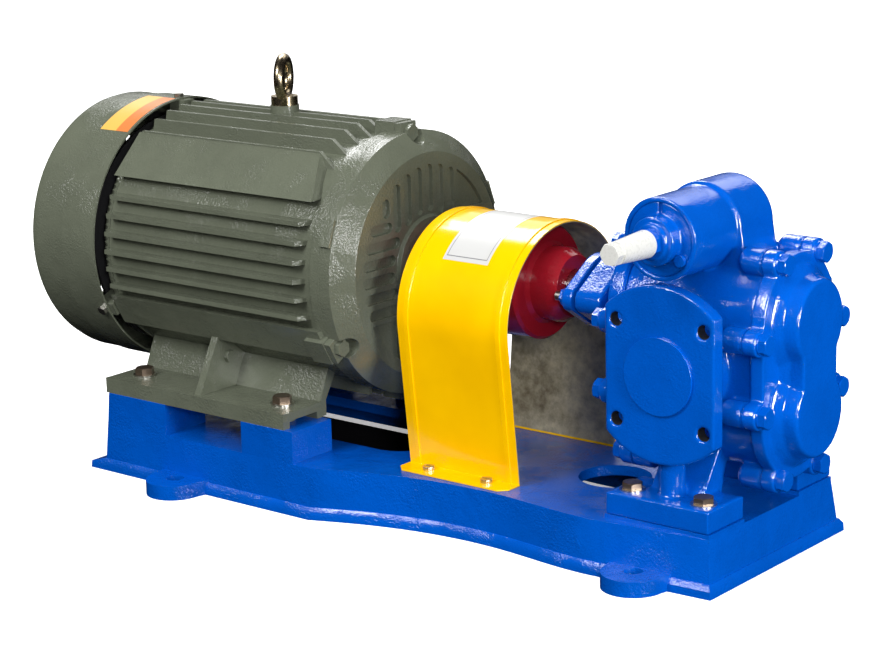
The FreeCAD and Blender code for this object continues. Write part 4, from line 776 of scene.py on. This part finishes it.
def geo(tree, kind, settings=None, **inputs):
    """Any node of a Geometry Nodes tree; an input named i0 is the first socket."""
    node = tree.nodes.new(kind)
    for key, value in (settings or {}).items():
        setattr(node, key, value)
    for key, value in inputs.items():
        label = key.replace("_", " ")
        place = node.inputs[int(label[1:])] if label[1:].isdigit() else node.inputs[label]
        if isinstance(value, bpy.types.NodeSocket):
            tree.links.new(value, place)
        else:
            place.default_value = value
    return node


def sums(tree, operation, first, second):
    """The result of one Math node."""
    return geo(tree, "ShaderNodeMath", {"operation": operation}, i0=first,
               i1=second).outputs[0]


def bolt_head_tree():
    """Chamfered hexagon heads on washers, one on each point, along its axis attribute."""
    top_circle_share = 0.47
    round_sides = 36
    tree = new_tree("Bolt heads", [
        ("Flats", "Float", 18.0 * MM), ("Height", "Float", HEAD_HEIGHT),
        ("Washer radius", "Float", 0.0), ("Washer thickness", "Float", 0.0),
        ("Chamfer", "Float", 0.5), ("Material", "Material", None),
    ])
    given = tree.nodes.new("NodeGroupInput")
    flats = given.outputs["Flats"]
    height = given.outputs["Height"]
    corner = sums(tree, "DIVIDE", flats, math.sqrt(3))
    top = sums(tree, "MULTIPLY", flats, top_circle_share)
    spread = sums(tree, "DIVIDE", height, sums(tree, "TANGENT", given.outputs["Chamfer"], 0.0))
    foot = sums(tree, "ADD", top, spread)
    half = sums(tree, "MULTIPLY", height, 0.5)
    lift = geo(tree, "ShaderNodeCombineXYZ", Z=half).outputs[0]
    prism = geo(tree, "GeometryNodeMeshCylinder", Vertices=6, Radius=corner, Depth=height)
    prism = geo(tree, "GeometryNodeTransform", Geometry=prism.outputs["Mesh"],
                Translation=lift)
    cone = geo(tree, "GeometryNodeMeshCone", Vertices=round_sides, Radius_Top=top,
               Radius_Bottom=foot, Depth=height)
    head = geo(tree, "GeometryNodeMeshBoolean", {"operation": "INTERSECT", "solver": "EXACT"})
    for part in (prism.outputs[0], cone.outputs["Mesh"]):
        tree.links.new(part, head.inputs["Mesh 2"])
    drop = geo(tree, "ShaderNodeCombineXYZ",
               Z=sums(tree, "MULTIPLY", given.outputs["Washer thickness"], -0.5)).outputs[0]
    washer = geo(tree, "GeometryNodeMeshCylinder", Vertices=round_sides,
                 Radius=given.outputs["Washer radius"],
                 Depth=given.outputs["Washer thickness"])
    washer = geo(tree, "GeometryNodeTransform", Geometry=washer.outputs["Mesh"],
                 Translation=drop)
    whole = tree.nodes.new("GeometryNodeJoinGeometry")
    tree.links.new(head.outputs[0], whole.inputs[0])
    tree.links.new(washer.outputs[0], whole.inputs[0])
    axis = geo(tree, "GeometryNodeInputNamedAttribute", {"data_type": "FLOAT_VECTOR"},
               Name="axis")
    turn = geo(tree, "FunctionNodeAlignRotationToVector", {"axis": "Z"},
               Vector=axis.outputs[0])
    copies = geo(tree, "GeometryNodeInstanceOnPoints", Points=given.outputs["Geometry"],
                 Instance=whole.outputs[0], Rotation=turn.outputs[0])
    solid = geo(tree, "GeometryNodeRealizeInstances", Geometry=copies.outputs[0])
    painted = geo(tree, "GeometryNodeSetMaterial", Geometry=solid.outputs[0],
                  Material=given.outputs["Material"])
    out = tree.nodes.new("NodeGroupOutput")
    tree.links.new(painted.outputs[0], out.inputs[0])
    return tree


def apply_tree(piece, tree, values):
    """Runs a tree on the piece with the named values and keeps the plain mesh."""
    modifier = piece.modifiers.new(tree.name, "NODES")
    modifier.node_group = tree
    for item in tree.interface.items_tree:
        if item.in_out == "INPUT" and item.name in values:
            modifier[item.identifier] = values[item.name]
    return bake_modifiers(piece)


def solid_boxes(node):
    """Lowest and highest corner of each loose solid of a group node, in a fixed order."""
    work = bmesh.new()
    work.from_mesh(NODES[node].data)
    bmesh.ops.remove_doubles(work, verts=work.verts, dist=WELD_DISTANCE)
    left = set(work.verts)
    boxes = []
    while left:
        seed = left.pop()
        group = [seed]
        stack = [seed]
        while stack:
            for edge in stack.pop().link_edges:
                for vert in edge.verts:
                    if vert in left:
                        left.remove(vert)
                        group.append(vert)
                        stack.append(vert)
        low, high = (Vector([pick(vert.co[k] for vert in group) for k in range(3)])
                     for pick in (min, max))
        boxes.append((low, high))
    work.free()
    return sorted(boxes, key=lambda box: tuple(box[0]))


def points_object(name, places, axes):
    """Points that bolt_head_tree sets its heads on."""
    mesh = bpy.data.meshes.new(name)
    mesh.from_pydata(places, [], [])
    attribute = mesh.attributes.new("axis", "FLOAT_VECTOR", "POINT")
    for k, axis in enumerate(axes):
        attribute.data[k].vector = axis
    return add_object(name, mesh)


def places_at(node, z):
    """The middle of each solid of a group node, at the given height."""
    return [((low.x + high.x) / 2, (low.y + high.y) / 2, z) for low, high in solid_boxes(node)]


class PUMPSET_OT_bolts(bpy.types.Operator):
    """Set chamfered heads on the cover and foot bolts, and washers under the pump's foot bolts.
    """

    bl_idname = "pumpset.bolts"
    bl_label = "Bolt heads"

    def execute(self, context):
        sizes = context.scene.pumpset_bolts
        tree = bolt_head_tree()
        self.cover_heads(tree, sizes)
        self.upright_heads("motor_foot_bolts", tree, sizes, HEAD_HEIGHT)
        self.upright_heads("pump_foot_bolts", tree, sizes, HEAD_HEIGHT - sizes.washer)
        self.foot_washers(tree, sizes)
        return {"FINISHED"}

    def foot_washers(self, tree, sizes):
        """Plain washers under the pump's foot bolts; their own heads stay inside the bolts."""
        places = places_at("pump_foot_bolts", corners("pump_foot_bolts")[1].z - HEAD_HEIGHT)
        piece = points_object("pump_foot_washers", places, [(0, 0, -1)] * len(places))
        apply_tree(piece, tree, {
            "Flats": 2.0 * MM, "Height": 0.5 * MM, "Washer radius": 13 * MM,
            "Washer thickness": sizes.washer, "Chamfer": sizes.chamfer_angle,
        })
        smooth_faces(piece.data, OWN_SHARP_ANGLE)
        only_material(piece.data, MATERIALS["plated_steel"])
        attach(piece, body_of_node("pump_foot_bolts"))

    def cover_heads(self, tree, sizes):
        """Heads on washers at both covers of the pump."""
        places = []
        axes = []
        pump_low, pump_high = corners("pump_body")
        pump_x = (pump_low.x + pump_high.x) / 2
        for low, high in solid_boxes("cover_bolts"):
            side = 1 if (low.x + high.x) / 2 > pump_x else -1
            face = high.x - HEAD_HEIGHT if side > 0 else low.x + HEAD_HEIGHT
            places.append((face + side * sizes.washer, (low.y + high.y) / 2,
                           (low.z + high.z) / 2))
            axes.append((side, 0, 0))
        piece = points_object("cover_bolt_heads", places, axes)
        apply_tree(piece, tree, {
            "Flats": sizes.cover_flats, "Height": HEAD_HEIGHT, "Washer radius": 10.6 * MM,
            "Washer thickness": sizes.washer, "Chamfer": sizes.chamfer_angle,
        })
        smooth_faces(piece.data, OWN_SHARP_ANGLE)
        hand_over(piece, "cover_bolts", slot_of("cover_bolts"))

    def upright_heads(self, node, tree, sizes, height):
        """Heads that stand up on the feet, in place of the CAD bolts."""
        places = places_at(node, corners(node)[1].z - height)
        piece = points_object(node + "_heads", places, [(0, 0, 1)] * len(places))
        apply_tree(piece, tree, {
            "Flats": sizes.cover_flats, "Height": height, "Washer radius": 0.0,
            "Washer thickness": 0.0, "Chamfer": sizes.chamfer_angle,
        })
        smooth_faces(piece.data, OWN_SHARP_ANGLE)
        hand_over(piece, node, slot_of(node))


# Labels


class PUMPSET_OT_label(bpy.types.Operator):
    """Lay a blank label on the guard and a blank sticker on the cowl."""

    bl_idname = "pumpset.label"
    bl_label = "Blank labels"

    def execute(self, context):
        low, high = corners("coupling_guard")
        x0, x1 = (low.x + reach for reach in LABEL_REACH)
        y0, y1 = (GUARD_RADIUS * math.sin(math.radians(angle)) for angle in LABEL_ANGLES)
        paper = blank_label("label_paper", (0.55, 0.55, 0.54), (0.2, 0.2, 0.21),
                            frame_line((x0, y0), (x1, y1)))
        self.bent_sheet("guard_label", "coupling_guard", paper, GUARD_RADIUS,
                        high.z - GUARD_RADIUS - GUARD_BEAD, (x0, x1), LABEL_ANGLES)
        cowl_end = corners("fan_cowl")[1].x
        film = blank_label("sticker_film", (0.72, 0.42, 0.09), (0.62, 0.19, 0.05),
                           lambda finish: finish.axis("X") > cowl_end - STICKER_BAND)
        self.bent_sheet("cowl_sticker", "fan_cowl", film, COWL_RADIUS, SHAFT_Z,
                        [cowl_end + reach for reach in STICKER_REACH], STICKER_ANGLES)
        return {"FINISHED"}

    def bent_sheet(self, name, node, material, radius, centre_z, ends, angles):
        """A thin sheet on a cylinder about a line along X, from one angle to another."""
        steps = 24
        first, last = angles
        work = bmesh.new()
        rows = []
        for k in range(steps + 1):
            angle = math.radians(first + (last - first) * k / steps)
            y, z = radius * math.sin(angle), centre_z + radius * math.cos(angle)
            rows.append([work.verts.new((x, y, z)) for x in ends])
        for one, two in zip(rows, rows[1:]):
            work.faces.new((one[0], one[1], two[1], two[0]))
        mesh = bpy.data.meshes.new(name)
        work.to_mesh(mesh)
        work.free()
        piece = add_object(name, mesh)
        sheet = piece.modifiers.new("Sheet", "SOLIDIFY")
        sheet.thickness = 0.2 * MM
        sheet.offset = 1
        bake_modifiers(piece)
        smooth_faces(piece.data, OWN_SHARP_ANGLE)
        only_material(piece.data, material)
        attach(piece, body_of_node(node))


# Studio


class PUMPSET_OT_studio(bpy.types.Operator):
    """Floor, soft lights and the camera."""

    bl_idname = "pumpset.studio"
    bl_label = "Studio"

    def execute(self, context):
        self.floor()
        self.lights()
        self.camera(context.scene)
        return {"FINISHED"}

    def floor(self):
        """A pale, evenly glowing floor with a painted shadow under the hollow base."""
        mesh = bpy.data.meshes.new("studio_floor")
        s = 15.0
        mesh.from_pydata([(-s, -s, 0), (s, -s, 0), (s, s, 0), (-s, s, 0)], [], [(0, 1, 2, 3)])
        floor = add_object("studio_floor", mesh)
        pale = Finish("pale_floor")
        x, y = pale.axis("X"), pale.axis("Y")
        # Painted shadow: under the hollow base the floor is near black and does not glow,
        # standing in for the base's shade.
        shade = 0.0
        for low, high in hollow_boxes():
            shade = shade + (x > low[0]) * (x < high[0]) * (y > low[1]) * (y < high[1])
        dark = shade.clamp()
        pale.set(
            Base_Color=pale.blend(dark, (0.95, 0.95, 0.95), (0.015, 0.015, 0.018)),
            Emission_Color=pale.blend(dark, (1.0, 1.0, 1.0), (0.0, 0.0, 0.0)),
            Emission_Strength=0.4,
            Roughness=0.9,
            Specular_IOR_Level=0.0,
        )
        mesh.materials.append(pale.material)
        floor.visible_diffuse = False
        floor.visible_glossy = False

    def area(self, name, place, target, size, power):
        """A soft lamp of the given width and height that the camera doesn't see."""
        light = bpy.data.lights.new(name, "AREA")
        light.shape = "RECTANGLE"
        light.size, light.size_y = size
        light.energy = power
        lamp = add_object(name, light)
        lamp.visible_camera = False
        turn = (Vector(place) - Vector(target)).to_track_quat("Z", "Y").to_matrix().to_4x4()
        lamp.matrix_world = Matrix.Translation(place) @ turn

    def lights(self):
        """Five lamps on the set, one on the floor behind it, and a wide sun."""
        centre = (-0.3, 0.0, 0.2)
        pump_side = (0.1, 0.0, 0.2)
        floor_behind = (-2.6, 3.4, 0.0)
        self.area("key", (-1.0, -2.5, 2.0), centre, (1.1, 1.0), 60)
        self.area("top", (-1.6, 1.1, 2.3), centre, (1.2, 0.9), 44)
        self.area("right", (1.5, -0.35, 0.46), pump_side, (0.35, 0.5), 25)
        self.area("front", (1.7, -2.1, 1.1), centre, (0.35, 0.7), 36)
        self.area("back", (-2.3, 2.4, 1.0), centre, (4.0, 1.0), 4)
        self.area("backdrop", (-2.6, 3.4, 2.6), floor_behind, (5.0, 3.0), 90)
        light = bpy.data.lights.new("sky", "SUN")
        light.energy = 2.1
        light.angle = math.radians(70)
        sky = add_object("sky", light)
        sky.rotation_euler = (math.radians(20), math.radians(6), 0)
        sky.visible_glossy = False
        world = bpy.data.worlds.new("studio")
        world.use_nodes = True
        self.dim_below(world.node_tree)
        bpy.context.scene.world = world

    def dim_below(self, tree):
        """A sky that is brighter above the horizon than below it."""
        place = tree.nodes.new("ShaderNodeTexCoord").outputs["Generated"]
        split = tree.nodes.new("ShaderNodeSeparateXYZ")
        tree.links.new(place, split.inputs[0])
        level = Value(tree, split.outputs["Z"]) * 0.4 + 0.12
        feed(tree, tree.nodes["Background"].inputs["Strength"],
             level.math("MAXIMUM", 0.06).math("MINIMUM", 0.24))

    def camera(self, scene):
        """The camera, turned by its compass angle, tilt and roll."""
        studio = scene.pumpset_studio
        turn, tilt, roll = studio.camera_turn, studio.camera_tilt, studio.camera_roll
        ahead = Vector((-math.sin(turn) * math.cos(tilt), math.cos(turn) * math.cos(tilt),
                        -math.sin(tilt)))
        right = ahead.cross(Vector((0, 0, 1))).normalized()
        up = right.cross(ahead)
        across = right * math.cos(roll) + up * math.sin(roll)
        upward = up * math.cos(roll) - right * math.sin(roll)
        axes = Matrix((across, upward, -ahead)).transposed().to_4x4()
        data = bpy.data.cameras.new("studio_camera")
        data.sensor_width = 36.0
        data.lens = studio.lens
        data.shift_x, data.shift_y = studio.lens_shift
        camera = add_object("studio_camera", data)
        camera.matrix_world = Matrix.Translation(studio.camera_place) @ axes
        scene.camera = camera
        scene.view_settings.view_transform = "Standard"


class PUMPSET_PT_panel(bpy.types.Panel):
    """Shows the operators and the sizes and colours of the pump set."""

    bl_idname = "PUMPSET_PT_panel"
    bl_label = "Pump set"
    bl_space_type = "VIEW_3D"
    bl_region_type = "UI"
    bl_category = "Pump set"

    def draw(self, context):
        for operator in OPERATORS:
            self.layout.operator(operator.bl_idname)
        for group in GROUPS:
            box = self.layout.box()
            data = getattr(context.scene, group)
            for name in data.bl_rna.properties.keys():
                if name not in ("rna_type", "name"):
                    box.prop(data, name)


GROUPS = {
    "pumpset_castings": CastingSizes,
    "pumpset_bolts": BoltSizes,
    "pumpset_paint": PaintColours,
    "pumpset_studio": StudioSizes,
}
OPERATORS = (
    PUMPSET_OT_materials,
    PUMPSET_OT_castings,
    PUMPSET_OT_motor,
    PUMPSET_OT_coupling,
    PUMPSET_OT_soft_pieces,
    PUMPSET_OT_bolts,
    PUMPSET_OT_label,
    PUMPSET_OT_studio,
)


def register():
    for group in GROUPS.values():
        bpy.utils.register_class(group)
    for name, group in GROUPS.items():
        setattr(bpy.types.Scene, name, bpy.props.PointerProperty(type=group))
    for operator in OPERATORS + (PUMPSET_PT_panel,):
        bpy.utils.register_class(operator)


def unregister():
    for operator in (PUMPSET_PT_panel,) + OPERATORS[::-1]:
        bpy.utils.unregister_class(operator)
    for name in GROUPS:
        delattr(bpy.types.Scene, name)
    for group in GROUPS.values():
        bpy.utils.unregister_class(group)


def main():
    register()
    bpy.ops.pumpset.materials()
    bpy.ops.pumpset.castings()
    bpy.ops.pumpset.motor()
    bpy.ops.pumpset.coupling()
    bpy.ops.pumpset.soft_pieces()
    bpy.ops.pumpset.bolts()
    bpy.ops.pumpset.label()
    bpy.ops.pumpset.studio()


if __name__ == "__main__":
    main()
